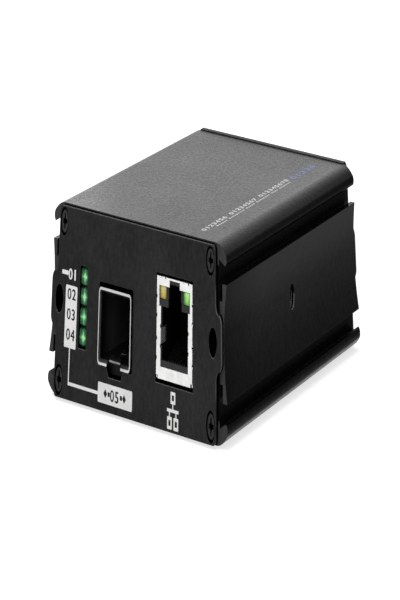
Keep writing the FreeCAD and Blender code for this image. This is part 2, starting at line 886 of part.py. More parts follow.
def cage_holes():
    """What is cut out of the cage's sheet: slits, spring windows, vents and room at the back."""
    floor_low = cage_bottom - cage_flare - beyond
    floor_high = cage_bottom + cage_sheet + overlap
    half = tongue_width / 2 + tongue_slit
    front = cage_front_y - beyond
    holes = [box(cage_x - half, cage_x + half, front, front_y + tongue_length, floor_low, floor_high)]
    half = cage_half - floor_slot_margin
    front = host_front_y - floor_slot_play
    holes.append(box(cage_x - half, cage_x + half, front, cage_back_y + beyond, floor_low, floor_high))
    for i in range(vent_columns):
        for j in range(vent_rows):
            x = cage_x + (j - (vent_rows - 1) / 2) * vent_spread
            y = front_y + vent_start + i * vent_pitch
            holes.append(rod("z", (x, y), vent_r, cage_top - beyond, cage_top + beyond))
    start = front_y + side_spring_start
    end = start + side_spring_length
    half = cage_half + beyond
    rise = side_spring_half + side_spring_slit
    holes.append(box(cage_x - half, cage_x + half, start, end, cage_middle_z - rise, cage_middle_z + rise))
    return holes


def sfp_cage():
    """Folded sheet cage with a belled mouth, latch tongue, spring fingers, vents and board feet."""
    mouth_end = cage_front_y + cage_flare_depth
    bell = Part.makeLoft([cage_section(cage_front_y, cage_flare), cage_section(mouth_end, 0)], True, True)
    inside = [cage_section(cage_front_y, cage_flare - cage_rim), cage_section(mouth_end, -cage_sheet)]
    throat = Part.makeLoft(inside, True, True)
    tube = Part.Face(cage_section(mouth_end, 0)).extrude(V(0, cage_back_y - mouth_end, 0))
    core = Part.Face(cage_section(mouth_end, -cage_sheet))
    core = core.extrude(V(0, cage_back_y - mouth_end - cage_sheet, 0))
    shell = cut(fuse([bell, tube]), [throat, core] + cage_holes())
    feet = [
        box(x0, x1, y0, y1, tail_z, cage_bottom + cage_sheet) for x0, x1, y0, y1 in cage_pin_places()
    ]
    return fuse([shell, cage_tongue()] + cage_side_springs() + cage_finger_ring() + feet)


def host_contact_x():
    """Middles of the edge connector's contacts."""
    return [cage_x + (i - (host_contacts_a_row - 1) / 2) * host_pitch for i in range(host_contacts_a_row)]


def sfp_host_connector():
    """Moulded edge connector with its card slot and a groove for each contact."""
    half = host_width / 2
    top = board_top + host_height
    profile = [
        (host_front_y, board_top + host_foot_rise),
        (host_front_y, top - host_chamfer),
        (host_front_y + host_chamfer, top),
        (host_back_y, top),
        (host_back_y, board_top),
        (host_front_y + host_foot_step, board_top),
    ]
    body = prism_x(profile, cage_x - half, cage_x + half)
    half = host_slot_width / 2
    front = host_front_y - beyond
    slot_end = host_front_y + host_slot_depth
    low, high = host_slot_low, host_slot_high
    cuts = [box(cage_x - half, cage_x + half, front, slot_end, low, high)]
    groove = host_contact_width / 2 + host_groove_play
    groove_start = host_front_y + host_groove_start
    groove_end = host_back_y + beyond
    roof = high + host_groove_depth
    for x in host_contact_x():
        x0, x1 = x - groove, x + groove
        cuts.append(box(x0, x1, groove_start, groove_end, high - overlap, roof))
        cuts.append(box(x0, x1, front, slot_end, low - host_groove_depth, low + overlap))
    return cut(body, cuts)


def sfp_contacts():
    """Upper and lower row of gold contacts, with their feet on the board."""
    sheet = host_contact_sheet
    low, high = host_slot_low, host_slot_high
    front = host_front_y
    back = host_back_y + host_groove_play
    upper = [
        (front + host_contact_tip, high + host_contact_rise),
        (front + host_contact_knee, high - host_contact_dip),
        (front + host_contact_root, high + host_contact_rise),
        (back, high + host_contact_rise),
        (back, board_top + sheet),
        (back + sheet, board_top),
        (back + host_foot, board_top),
    ]
    lower = [
        (front - host_foot, board_top),
        (front - 2 * sheet, board_top),
        (front - sheet, board_top + sheet),
        (front - sheet, low - host_contact_rise - sheet),
        (front + host_contact_tip, low - host_contact_rise - sheet),
        (front + host_contact_knee, low - sheet),
        (front + host_contact_root, low - host_contact_rise - sheet),
    ]
    half = host_contact_width / 2
    shapes = []
    for x in host_contact_x():
        shapes.append(prism_x(strip(upper, sheet), x - half, x + half))
        shapes.append(prism_x(strip(lower, sheet), x - half, x + half))
    return Part.Compound(shapes)


# ---------------------------------------------------------------- modular jack
def jack_opening(side, floor, shoulder, lamp_side, ceiling, latch_half, latch_z, y0, y1):
    """Stepped outline of the jack's front, drawn along Y.  Heights are above the board."""
    right = [
        (side, floor),
        (side, shoulder),
        (lamp_side, shoulder),
        (lamp_side, ceiling),
        (latch_half, ceiling),
        (latch_half, latch_z),
    ]
    points = [(jack_x + x, board_top + z) for x, z in right]
    points += [(jack_x - x, board_top + z) for x, z in reversed(right)]
    return prism_y(points, y0, y1)


def jack_tab_places():
    """Board tabs of the jack's shield, as (x0, x1, y0, y1)."""
    y = front_y + jack_tab_y
    places = []
    for sx in (-1, 1):
        x0, x1 = sorted((jack_x + sx * jack_side, jack_x + sx * (jack_side - jack_sheet)))
        places.append((x0, x1, y - jack_tab_half, y + jack_tab_half))
    return places


def jack_peg_places():
    """Round locating pegs of the jack's moulding, as (x, y)."""
    x = jack_side - jack_peg_from_side
    return [(jack_x + sx * x, front_y + jack_peg_y) for sx in (-1, 1)]


def jack_bites(places):
    """Small round relief holes in the shield's front, at the given (x, z)."""
    far = front_y + jack_sheet + overlap
    return [rod("y", place, jack_bite_r, front_y - beyond, far) for place in places]


def jack_fingers():
    """Spring fingers of the shield's sides and top: the windows to cut, and the bent leaves."""
    bulge = [
        (jack_finger_start, -jack_sheet),
        (jack_finger_rise, jack_finger_bulge - jack_sheet),
        (jack_finger_fall, jack_finger_bulge - jack_sheet),
        (jack_finger_tip, overlap - jack_sheet),
    ]
    section = strip([(front_y + y, off) for y, off in bulge], jack_sheet)
    start = front_y + jack_sheet
    end = front_y + jack_finger_end
    windows = []
    leaves = []
    rise = jack_finger_half + jack_finger_slit
    for z in (board_top + jack_finger_low, jack_top - jack_finger_high):
        for sx in (-1, 1):
            edge = jack_x + sx * jack_side
            near, far = sorted((edge + sx * beyond, edge - sx * (jack_sheet + overlap)))
            windows.append(box(near, far, start, end, z - rise, z + rise))
            windows += jack_bites([(edge, z - rise), (edge, z + rise)])
        profile = [(jack_x + jack_side + off, y) for y, off in section]
        right = prism_z(profile, z - jack_finger_half, z + jack_finger_half)
        leaves += [right, mirrored_x(right, jack_x)]
    half = jack_top_finger_half + jack_finger_slit
    under = jack_top - jack_sheet - overlap
    for sx in (-1, 1):
        x = jack_x + sx * (jack_side - jack_top_finger_x)
        windows.append(box(x - half, x + half, start, end, under, jack_top + beyond))
        windows += jack_bites([(x - half, jack_top), (x + half, jack_top)])
        profile = [(y, jack_top + off) for y, off in section]
        leaves.append(prism_x(profile, x - jack_top_finger_half, x + jack_top_finger_half))
    return windows, leaves


def jack_ground_fingers():
    """Fingers bent from the opening's sides into the cavity, and the relief bites beside them."""
    side = jack_side - jack_face_side
    z = board_top + ground_finger_z
    path = [
        (0, 0),
        (jack_sheet, 0),
        (ground_finger_crest, ground_finger_dip),
        (ground_finger_end, ground_finger_rest),
    ]
    section = strip([(jack_x + side - off, front_y + y) for y, off in path], -jack_sheet)
    right = prism_z(section, z - ground_finger_half, z + ground_finger_half)
    rise = ground_finger_half + ground_finger_slit
    bites = jack_bites([(jack_x + sx * side, z + sz * rise) for sx in (-1, 1) for sz in (-1, 1)])
    return bites, [right, mirrored_x(right, jack_x)]


def rj45_shield():
    """Folded tinned shield: stepped front opening, spring fingers with relief bites, board tabs."""
    sheet = jack_sheet
    outer = box(jack_x - jack_side, jack_x + jack_side, front_y, jack_back_y, board_top, jack_top)
    inner_side = jack_side - sheet
    inner = box(
        jack_x - inner_side,
        jack_x + inner_side,
        front_y + sheet,
        jack_back_y - sheet,
        board_top - beyond,
        jack_top - sheet,
    )
    opening = jack_opening(
        jack_side - jack_face_side,
        jack_face_bottom,
        lamp_z - lamp_height / 2 - lamp_shoulder,
        lamp_offset + lamp_width / 2 + lamp_margin,
        jack_height - jack_face_top,
        latch_width / 2,
        jack_height - jack_bridge,
        front_y - beyond,
        front_y + sheet + overlap,
    )
    windows, leaves = jack_fingers()
    bites, grounds = jack_ground_fingers()
    corners = []
    for sx in (-1, 1):
        edge = jack_x + sx * jack_side
        near, far = sorted((edge + sx * beyond, edge - sx * corner_bite_width))
        low = board_top - beyond
        corners.append(
            box(near, far, front_y - beyond, front_y + sheet + overlap, low, board_top + corner_bite_rise)
        )
    tabs = [box(x0, x1, y0, y1, tail_z, board_top + beyond) for x0, x1, y0, y1 in jack_tab_places()]
    shell = cut(outer, [inner, opening] + windows + bites + corners)
    return fuse([shell] + leaves + grounds + tabs)


def jack_contact_places():
    """Middles of the jack's contacts and the Y of their board tails, in two staggered rows."""
    rear_row = insert_back_y - jack_tail_back
    places = []
    for i in range(jack_contact_count):
        x = jack_x + (i - (jack_contact_count - 1) / 2) * jack_contact_pitch
        places.append((x, rear_row - (i % 2) * jack_tail_step))
    return places


def jack_lamp_leads(x):
    """The two leads of a jack lamp, as the X of their middles."""
    return (x - lamp_lead_pitch / 2, x + lamp_lead_pitch / 2)


def jack_lamp_pockets():
    """Room in the jack's moulding for both lamps and their leads."""
    z = board_top + lamp_z
    w = lamp_width / 2 + lamp_pocket_play
    h = lamp_height / 2 + lamp_pocket_play
    lead_half = lamp_lead / 2 + lamp_pocket_play
    far = insert_back_y + beyond
    pockets = []
    for sx in (-1, 1):
        x = jack_x + sx * lamp_offset
        pockets.append(
            box(x - w, x + w, insert_front_y - beyond, lamp_back_y + lamp_pocket_play, z - h, z + h)
        )
        for lead in jack_lamp_leads(x):
            x0, x1 = lead - lead_half, lead + lead_half
            pockets.append(box(x0, x1, lamp_back_y, far, z - lead_half, z + lead_half))
    return pockets


def rj45_insert():
    """Moulded jack body: plug cavity, stepped latch slot, lamp pockets and contact comb."""
    side = jack_side - jack_sheet - insert_play
    top = jack_top - jack_sheet - insert_play
    body = box(jack_x - side, jack_x + side, insert_front_y, insert_back_y, board_top, top)
    cavity = jack_opening(
        jack_side - cavity_side,
        cavity_floor,
        jack_height - cavity_drop,
        latch_step_width / 2,
        jack_height - latch_step_drop,
        latch_width / 2,
        jack_height - latch_drop,
        insert_front_y - beyond,
        insert_front_y + cavity_depth,
    )
    cuts = [cavity] + jack_lamp_pockets()
    z = board_top + ground_finger_z
    rise = ground_finger_half + ground_finger_slit
    front = insert_front_y - beyond
    for sx in (-1, 1):
        inside = jack_side - cavity_side - overlap
        outside = jack_side - jack_face_side + jack_sheet + insert_play
        near, far = sorted((jack_x + sx * inside, jack_x + sx * outside))
        cuts.append(box(near, far, front, front_y + ground_finger_end + beyond, z - rise, z + rise))
    slot = jack_contact_width / 2 + jack_contact_play
    run_low = board_top + jack_run - jack_contact_play
    for x, tail_y in jack_contact_places():
        x0, x1 = x - slot, x + slot
        back = tail_y + jack_contact_play
        tail_front = tail_y - jack_contact_thickness - jack_contact_play
        comb_front = front_y + jack_turn_front - jack_contact_thickness
        cuts.append(box(x0, x1, comb_front, back, run_low, board_top + cavity_floor + overlap))
        cuts.append(box(x0, x1, tail_front, back, board_top - beyond, run_low + overlap))
    pegs = [
        rod("z", place, jack_peg_r, board_bottom, board_top + jack_run / 2) for place in jack_peg_places()
    ]
    return fuse([cut(body, cuts)] + pegs)


def rj45_contacts():
    """Eight spring contacts: board tail, run under the floor, and the wire that rises into the cavity."""
    half = jack_contact_width / 2
    t = jack_contact_thickness
    turn = (front_y + jack_turn_front, board_top + jack_turn_rise)
    hook = (front_y + jack_hook_front, board_top + jack_hook_rise)
    end = (front_y + jack_wire_back, board_top + jack_wire_rise)
    run = board_top + jack_run
    shapes = []
    for x, tail_y in jack_contact_places():
        section = [
            (tail_y, tail_z),
            (tail_y, run + t),
            (front_y + jack_run_front, run + t),
            (turn[0] + t, turn[1]),
            (hook[0] + t / 2, hook[1] - t),
            end,
            (end[0] - t / 2, end[1] + t),
            (hook[0] - t / 2, hook[1] + t / 2),
            turn,
            (front_y + jack_run_front - t / 2, run),
            (tail_y - t, run),
            (tail_y - t, tail_z),
        ]
        shapes.append(prism_x(section, x - half, x + half))
    return Part.Compound(shapes)


def rj45_lamp(sign):
    """Rectangular lamp of the jack with a softened front, and its two leads."""
    x = jack_x + sign * lamp_offset
    z = board_top + lamp_z
    w, h = lamp_width / 2, lamp_height / 2
    lens = box(x - w, x + w, front_y + lamp_recess, lamp_back_y, z - h, z + h)
    front_edges = [e for e in lens.Edges if e.BoundBox.YMax < front_y + lamp_recess + overlap]
    lens = lens.makeFillet(lamp_round, front_edges)
    half = lamp_lead / 2
    section = [
        (lamp_back_y - overlap, z - half),
        (lamp_back_y - overlap, z + half),
        (lamp_drop_y + lamp_lead, z + half),
        (lamp_drop_y + lamp_lead, tail_z),
        (lamp_drop_y, tail_z),
        (lamp_drop_y, z - half),
    ]
    leads = [prism_x(section, lead - half, lead + half) for lead in jack_lamp_leads(x)]
    return fuse([lens] + leads)


# ---------------------------------------------------------------- status lamps
def status_height_of(i):
    """Height of the middle of status lamp i, counted from the bottom."""
    return status_z + (i - (status_count - 1) / 2) * status_pitch


def status_lead_y(i):
    """Where the leads of status lamp i go down to the board."""
    return holder_back_y + status_lead_start + i * status_lead_gap


def status_led(i):
    """One status lamp: softened rectangular lens and two bent leads."""
    z = status_height_of(i)
    w, h = status_width / 2, status_height / 2
    lens = rounded_block(
        status_x - w, status_x + w, z - h, z + h, status_round, status_front_y, status_back_y
    )
    front_edges = [e for e in lens.Edges if e.BoundBox.YMax < status_front_y + overlap]
    lens = lens.makeFillet(status_soft, front_edges)
    half = status_lead / 2
    y = status_lead_y(i)
    section = [
        (status_back_y - overlap, z - half),
        (status_back_y - overlap, z + half),
        (y + status_lead, z + half),
        (y + status_lead, tail_z),
        (y, tail_z),
        (y, z - half),
    ]
    leads = []
    for sx in (-1, 1):
        x = status_x + sx * status_lead_gap / 2
        leads.append(prism_x(section, x - half, x + half))
    return fuse([lens] + leads)


def led_holder():
    """Black block that stands on the board behind the plate and holds the four status lamps."""
    x0, x1 = status_x - holder_half, status_x + holder_half
    top = status_height_of(status_count - 1) + status_height / 2 + holder_wall
    body = box(x0, x1, front_inner_y, holder_back_y, board_top, top)
    w = status_width / 2 + holder_play
    h = status_height / 2 + holder_play
    near = front_inner_y - beyond
    pockets = []
    for i in range(status_count):
        z = status_height_of(i)
        pockets.append(
            rounded_block(
                status_x - w, status_x + w, z - h, z + h, status_round, near, holder_back_y + beyond
            )
        )
    foot_top = board_top + holder_foot_height
    foot = box(x0, x1, holder_back_y - overlap, holder_back_y + holder_foot, board_top, foot_top)
    return fuse([cut(body, pockets), foot])


# ---------------------------------------------------------------- power inlet
def dc_jack():
    """Moulded power socket: block on the board, round nose through the rear plate, bore for the plug."""
    half = inlet_width / 2
    top = board_top + inlet_height
    body = box(inlet_x - half, inlet_x + half, inlet_back_y, inlet_face_y, board_top, top)
    upper = [e for e in body.Edges if e.BoundBox.ZMin > top - overlap]
    body = body.makeChamfer(inlet_chamfer, upper)
    centre = (inlet_x, inlet_z)
    nose = rod("y", centre, inlet_nose_r, inlet_face_y - beyond, inlet_mouth_y)
    bore_end = inlet_mouth_y - inlet_bore_depth
    bore = rod("y", centre, inlet_bore_r, bore_end, inlet_mouth_y + beyond)
    lead_in = Part.makeCone(
        inlet_bore_r,
        inlet_bore_r + inlet_lead_in,
        inlet_lead_in,
        V(inlet_x, inlet_mouth_y - inlet_lead_in, inlet_z),
        V(0, 1, 0),
    )
    pin_hole = rod("y", centre, inlet_pin_r + inlet_pin_play, inlet_back_y - beyond, bore_end + beyond)
    half = inlet_spring_width / 2 + inlet_slot_play
    slot_start = inlet_leg_y - inlet_slot_end
    slot_end = inlet_face_y - inlet_spring_end + inlet_slot_end
    slot_top = inlet_z - inlet_bore_r / 2
    slot = box(inlet_x - half, inlet_x + half, slot_start, slot_end, board_top - beyond, slot_top)
    return cut(body.fuse(nose), [bore, lead_in, pin_hole, slot]).removeSplitter()


def dc_jack_pin():
    """Centre pin with a round tip, and its flat terminal behind the socket."""
    tip_y = inlet_mouth_y - inlet_pin_tip
    pin = rod("y", (inlet_x, inlet_z), inlet_pin_r, inlet_back_y, tip_y)
    end = [e for e in pin.Edges if e.BoundBox.YMin > tip_y - overlap]
    pin = pin.makeFillet(inlet_pin_round, end)
    half = inlet_terminal_width / 2
    front = inlet_back_y - inlet_terminal
    terminal = box(inlet_x - half, inlet_x + half, front, inlet_back_y, tail_z, inlet_z + inlet_terminal_rise)
    return fuse([pin, terminal])


def dc_jack_spring():
    """Leaf contact under the bore, lifted into it where it meets the plug's sleeve."""
    low = inlet_z - inlet_bore_r
    sheet = inlet_spring_sheet
    path = [
        (inlet_face_y - inlet_spring_end, low - inlet_spring_drop),
        (inlet_face_y - inlet_spring_crest, low + inlet_spring_lift),
        (inlet_face_y - inlet_spring_bend, low - inlet_spring_bend_drop),
        (inlet_leg_y, low - inlet_spring_leg_drop),
        (inlet_leg_y, tail_z),
    ]
    half = inlet_spring_width / 2
    return prism_x(strip(path, sheet), inlet_x - half, inlet_x + half)


# ---------------------------------------------------------------- parts on the board
def bridge_chip():
    """Square chip with leads on its four sides."""
    size = (bridge_size, bridge_size, bridge_height)
    return chip((bridge_x, bridge_y), size, bridge_lead_count, bridge_pitch, bridge_lead, "xy")


def lan_magnetics():
    """Tall transformer block behind the jack."""
    place = (jack_x, jack_back_y + magnetics_behind_jack)
    size = (magnetics_width, magnetics_length, magnetics_height)
    return chip(place, size, magnetics_lead_count, magnetics_pitch, magnetics_lead, "y")


def config_memory():
    """Small eight-lead chip."""
    size = (memory_width, memory_length, memory_height)
    return chip((memory_x, memory_y), size, memory_lead_count, memory_pitch, memory_lead, "y")


def regulator_chip():
    """Power regulator beside the coil."""
    place = (inlet_x - regulator_beside_inlet, inlet_back_y - coil_before_inlet)
    size = (regulator_width, regulator_length, regulator_height)
    return chip(place, size, regulator_lead_count, regulator_pitch, regulator_lead, "y")


def bulk_capacitor(i):
    """Upright can with a rolled groove, on its square moulded base with two cut corners."""
    x = inlet_x + can_from_inlet + i * (can_base + can_gap)
    y = inlet_back_y + can_behind
    base_top = board_top + can_base_height
    top = board_top + can_height
    half = can_base / 2
    cut_corner = half - can_base_height
    outline = [
        (x - half, y - half),
        (x + half, y - half),
        (x + half, y + cut_corner),
        (x + cut_corner, y + half),
        (x - cut_corner, y + half),
        (x - half, y + cut_corner),
    ]
    base = prism_z(outline, board_top, base_top)
    groove_z = base_top + can_groove_rise + can_groove_half
    profile = [
        (0, base_top),
        (can_r, base_top),
        (can_r, groove_z - can_groove_half),
        (can_r - can_groove, groove_z),
        (can_r, groove_z + can_groove_half),
        (can_r, top - can_round),
        (can_r - can_round, top),
        (0, top),
    ]
    wire = Part.makePolygon([V(r, 0, z) for r, z in profile] + [V(0, 0, base_top)])
    can = Part.Face(wire).revolve(V(0, 0, 0), V(0, 0, 1), 360).translated(V(x, y, 0))
    return fuse([base, can])


def power_inductor():
    """Square shielded coil: round-cornered frame with the drum core showing on top."""
    x = inlet_x
    y = inlet_back_y - coil_before_inlet
    half = coil_size / 2
    top = board_top + coil_height
    well = top - coil_well
    block = box(x - half, x + half, y - half, y + half, board_top, top)
    upright = [e for e in block.Edges if e.BoundBox.ZLength > coil_height / 2]
    block = block.makeFillet(coil_corner_r, upright)
    gap = rod("z", (x, y), half - coil_rim, well, top + beyond)
    drum = rod("z", (x, y), half - coil_rim - coil_gap, well - coil_overlap, top - coil_overlap)
    return fuse([block.cut(gap), drum])


def crystal():
    """Low metal can with round ends on a thin flange."""
    layers = [
        (0, board_top, board_top + crystal_flange_height),
        (crystal_flange, board_top + crystal_flange, board_top + crystal_height),
    ]
    shapes = []
    for inset, low, high in layers:
        long_half = crystal_length / 2 - inset
        wide_half = crystal_width / 2 - inset
        layer = box(
            crystal_x - long_half,
            crystal_x + long_half,
            crystal_y - wide_half,
            crystal_y + wide_half,
            low,
            high,
        )
        upright = [e for e in layer.Edges if e.BoundBox.ZLength > (high - low) / 2]
        shapes.append(layer.makeFillet(wide_half - overlap, upright))
    return fuse(shapes)


def ceramic_parts():
    """Rows of small ceramic parts beside the bridge chip, a group of separate pieces."""
    half_x = ceramic_width / 2
    half_y = ceramic_length / 2
    top = board_top + ceramic_height
    shapes = []
    for sx in (-1, 1):
        for i in range(ceramic_count):
            x = bridge_x + sx * (bridge_size / 2 + chip_lead_reach + ceramic_from_leads)
            y = bridge_y + (i - (ceramic_count - 1) / 2) * ceramic_pitch
            shapes.append(box(x - half_x, x + half_x, y - half_y, y + half_y, board_top, top))
    return Part.Compound(shapes)


def board_holes():
    """Where pins, tails, tabs and leads go through the board, as (x0, x1, y0, y1)."""
    places = cage_pin_places() + jack_tab_places()
    half = jack_contact_width / 2
    places += [(x - half, x + half, y - jack_contact_thickness, y) for x, y in jack_contact_places()]
    half = lamp_lead / 2
    for sx in (-1, 1):
        for lead in jack_lamp_leads(jack_x + sx * lamp_offset):
            places.append((lead - half, lead + half, lamp_drop_y, lamp_drop_y + lamp_lead))
    half = status_lead / 2
    for i in range(status_count):
        y = status_lead_y(i)
        for sx in (-1, 1):
            x = status_x + sx * status_lead_gap / 2
            places.append((x - half, x + half, y, y + status_lead))
    half = inlet_terminal_width / 2
    places.append((inlet_x - half, inlet_x + half, inlet_back_y - inlet_terminal, inlet_back_y))
    half = inlet_spring_width / 2
    places.append((inlet_x - half, inlet_x + half, inlet_leg_y, inlet_leg_y + inlet_spring_sheet))
    return places


def circuit_board():
    """Board with a hole for every pin, tail, tab and peg that goes through it."""
    end = body_length / 2 - board_play
    board = box(-board_half_width, board_half_width, -end, end, board_bottom, board_top)
    corners = [e for e in board.Edges if e.BoundBox.ZLength > board_thickness / 2]
    board = board.makeFillet(board_corner_r, corners)
    low = board_bottom - beyond
    high = board_top + beyond
    holes = [
        box(x0 - pin_play, x1 + pin_play, y0 - pin_play, y1 + pin_play, low, high)
        for x0, x1, y0, y1 in board_holes()
    ]
    holes += [rod("z", place, jack_peg_r + pin_play, low, high) for place in jack_peg_places()]
    return cut(board, holes)


# ---------------------------------------------------------------- nodes
def nodes():
    """Every piece by name."""
    pieces = {
        "extruded_body": extruded_body(),
        "front_plate": front_plate(),
        "rear_plate": rear_plate(),
        "front_screws": screws(front_y, 1),
        "rear_screws": screws(rear_y, -1),
        "circuit_board": circuit_board(),
        "sfp_cage": sfp_cage(),
        "sfp_host_connector": sfp_host_connector(),
        "sfp_contacts": sfp_contacts(),
        "rj45_shield": rj45_shield(),
        "rj45_insert": rj45_insert(),
        "rj45_contacts": rj45_contacts(),
        "rj45_led_amber": rj45_lamp(-1),
        "rj45_led_green": rj45_lamp(1),
        "led_holder": led_holder(),
        "dc_jack": dc_jack(),
        "dc_jack_pin": dc_jack_pin(),
        "dc_jack_spring": dc_jack_spring(),
        "bridge_chip": bridge_chip(),
        "lan_magnetics": lan_magnetics(),
        "config_memory": config_memory(),
        "regulator_chip": regulator_chip(),
        "power_inductor": power_inductor(),
        "crystal": crystal(),
        "ceramic_parts": ceramic_parts(),
    }
    for i in range(status_count):
        pieces[f"status_led_{status_count - i}"] = status_led(i)
    for i in range(can_count):
        pieces[f"bulk_capacitor_{i + 1}"] = bulk_capacitor(i)
    return pieces


os.makedirs("parts", exist_ok=True)
for name, shape in nodes().items():
    shape.exportStep(f"parts/{name}.step")
    size = shape.BoundBox
    print(f"{name}: {len(shape.Solids)} solid(s), {shape.Volume:.1f} mm3, "
          f"{size.XLength:.2f} x {size.YLength:.2f} x {size.ZLength:.2f}, valid {shape.isValid()}")
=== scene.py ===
"""Looks of the fibre media converter: finishes, prints, floor, light and camera.

The photograph of this object is squeezed sideways to a third of its true width. The part keeps
its true proportions, and the main camera repeats the squeeze; every other view is unsqueezed.
Places are in metres, written as so many MM. Only the prints are laid out in plain millimetres,
and scaled at their end.
"""

import math

import bmesh
import bpy
from mathutils import Matrix, Vector


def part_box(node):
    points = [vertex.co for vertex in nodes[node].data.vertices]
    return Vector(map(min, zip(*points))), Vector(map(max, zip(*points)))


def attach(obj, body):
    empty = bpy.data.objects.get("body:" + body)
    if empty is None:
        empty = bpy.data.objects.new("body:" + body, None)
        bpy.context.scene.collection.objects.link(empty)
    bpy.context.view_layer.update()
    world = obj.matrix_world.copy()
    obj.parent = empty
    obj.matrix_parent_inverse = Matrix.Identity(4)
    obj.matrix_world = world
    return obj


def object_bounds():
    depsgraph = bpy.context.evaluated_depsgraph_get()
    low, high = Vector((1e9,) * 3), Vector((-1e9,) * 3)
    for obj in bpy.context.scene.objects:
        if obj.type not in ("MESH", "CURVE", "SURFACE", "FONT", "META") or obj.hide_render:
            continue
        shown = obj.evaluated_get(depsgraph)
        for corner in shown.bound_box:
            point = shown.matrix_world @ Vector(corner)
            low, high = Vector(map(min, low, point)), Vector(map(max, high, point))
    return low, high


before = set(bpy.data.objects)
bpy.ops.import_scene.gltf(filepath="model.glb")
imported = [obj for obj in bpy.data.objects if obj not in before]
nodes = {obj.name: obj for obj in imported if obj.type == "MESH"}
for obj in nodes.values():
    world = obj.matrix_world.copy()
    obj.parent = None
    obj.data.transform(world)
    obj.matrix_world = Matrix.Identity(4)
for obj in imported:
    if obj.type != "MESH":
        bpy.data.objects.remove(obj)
cad_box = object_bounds()
scene = bpy.context.scene

MM = 0.001
FRONTWARD = (0.0, -1.0, 0.0)
UPWARD = (0.0, 0.0, 1.0)


# ---------------------------------------------------------------- places on the part
def front_face(node, depth=1.5 * MM):
    """Middle, half width and half height of a node's front, down to a depth behind its foremost point."""
    seen = [vertex.co for vertex in nodes[node].data.vertices]
    first = min(point.y for point in seen)
    face = [point for point in seen if point.y < first + depth]
    low_x, high_x = min(point.x for point in face), max(point.x for point in face)
    low_z, high_z = min(point.z for point in face), max(point.z for point in face)
    middle = ((low_x + high_x) / 2, first, (low_z + high_z) / 2)
    return middle, (high_x - low_x) / 2, (high_z - low_z) / 2


case_low, case_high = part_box("extruded_body")
middle_z = (case_low.z + case_high.z) / 2
side_hole_radius = 1.65 * MM
side_hole_edge = 39.10 * MM            # the countersunk edge is bare down to here, and painted shade lies deeper in
side_hole_threads = 38.40 * MM         # the threads end a little under the side's face; their bare metal takes a painted highlight low down
band_x = 39.4 * MM                     # the deepest line of the side bands' hollow faces
band_half = 7.4 * MM                   # half height of the side bands
lip_x = 36.6 * MM                      # the top begins to roll over into the lips
groove_x = 37.4 * MM                   # the bottom of the side grooves
groove_half = 10.2 * MM                # from mid-height to the noses of the lips
ear_hole_x = 35.6 * MM                 # the middle of the holes in the plates' ears

plate_face = -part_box("front_plate")[0].y       # fronts, as distances from the part's middle
cage_face = -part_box("sfp_cage")[0].y
insert_face = -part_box("rj45_insert")[0].y
shield_face = -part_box("rj45_shield")[0].y
shield_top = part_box("rj45_shield")[1].z

screws_low, screws_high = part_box("front_screws")
screw_half = 1.62 * MM                 # half width of a screw's head
ring_outer = 2.00 * MM                 # the countersink is painted in shade inside this radius
screw_face = -screws_low.y - 0.08 * MM         # the recess begins just behind the heads' front
screws_middle = (screws_low.z + screws_high.z) / 2
screw_x = screws_high.x - screw_half           # the screws' axes stand this far from the middle
screw_rise = screws_high.z - screw_half - screws_middle

status_nodes = ["status_led_%d" % place for place in (1, 2, 3, 4)]
amber_face = front_face("rj45_led_amber")
green_face = front_face("rj45_led_green")
amber_middle, lamp_half_width, lamp_half_height = amber_face
green_middle = green_face[0]
lamps_low = amber_middle[2] - lamp_half_height - 0.1 * MM
latch_x = (amber_middle[0] + green_middle[0]) / 2      # the plug's latch goes between the two lamps
latch_half = green_middle[0] - latch_x - lamp_half_width - 1.0 * MM


# ---------------------------------------------------------------- node helpers
def add(tree, kind, **settings):
    made = tree.nodes.new("ShaderNode" + kind)
    for key, value in settings.items():
        setattr(made, key, value)
    return made


def join(tree, source, target):
    tree.links.new(source, target)


def empty_material(name):
    made = bpy.data.materials.new(name)
    made.use_nodes = True
    made.node_tree.nodes.clear()
    return made, made.node_tree


def show(tree, closure):
    join(tree, closure, add(tree, "OutputMaterial").inputs["Surface"])


def noise(tree, vector, size_mm, detail=3.0, rough=0.55, distortion=0.0):
    made = add(tree, "TexNoise")
    join(tree, vector, made.inputs["Vector"])
    made.inputs["Scale"].default_value = 1.0 / (size_mm * MM)
    made.inputs["Detail"].default_value = detail
    made.inputs["Roughness"].default_value = rough
    made.inputs["Distortion"].default_value = distortion
    return made.outputs["Fac"]


def ranged(tree, value, low, high, to_low=0.0, to_high=1.0):
    made = add(tree, "MapRange")
    made.clamp = True
    join(tree, value, made.inputs["Value"])
    made.inputs["From Min"].default_value = low
    made.inputs["From Max"].default_value = high
    made.inputs["To Min"].default_value = to_low
    made.inputs["To Max"].default_value = to_high
    return made.outputs["Result"]


def maths(tree, operation, a, b=None):
    made = add(tree, "Math", operation=operation)
    for socket, value in zip(made.inputs, (a, b)):
        if value is None:
            continue
        if isinstance(value, (int, float)):
            socket.default_value = value
        else:
            join(tree, value, socket)
    return made.outputs["Value"]


def product(tree, first, *others):
    for other in others:
        first = maths(tree, "MULTIPLY", first, other)
    return first


def length(tree, first, second):
    """The length of two distances at right angles to each other."""
    squares = [maths(tree, "POWER", maths(tree, "ABSOLUTE", part), 2.0) for part in (first, second)]
    return maths(tree, "SQRT", maths(tree, "ADD", *squares))


def ramp(tree, value, *stops):
    made = add(tree, "ValToRGB")
    join(tree, value, made.inputs["Fac"])
    band = made.color_ramp
    while len(band.elements) < len(stops):
        band.elements.new(0.5)
    for element, (place, colour) in zip(band.elements, stops):
        element.position = place
        element.color = (*colour, 1.0)
    return made.outputs["Color"]


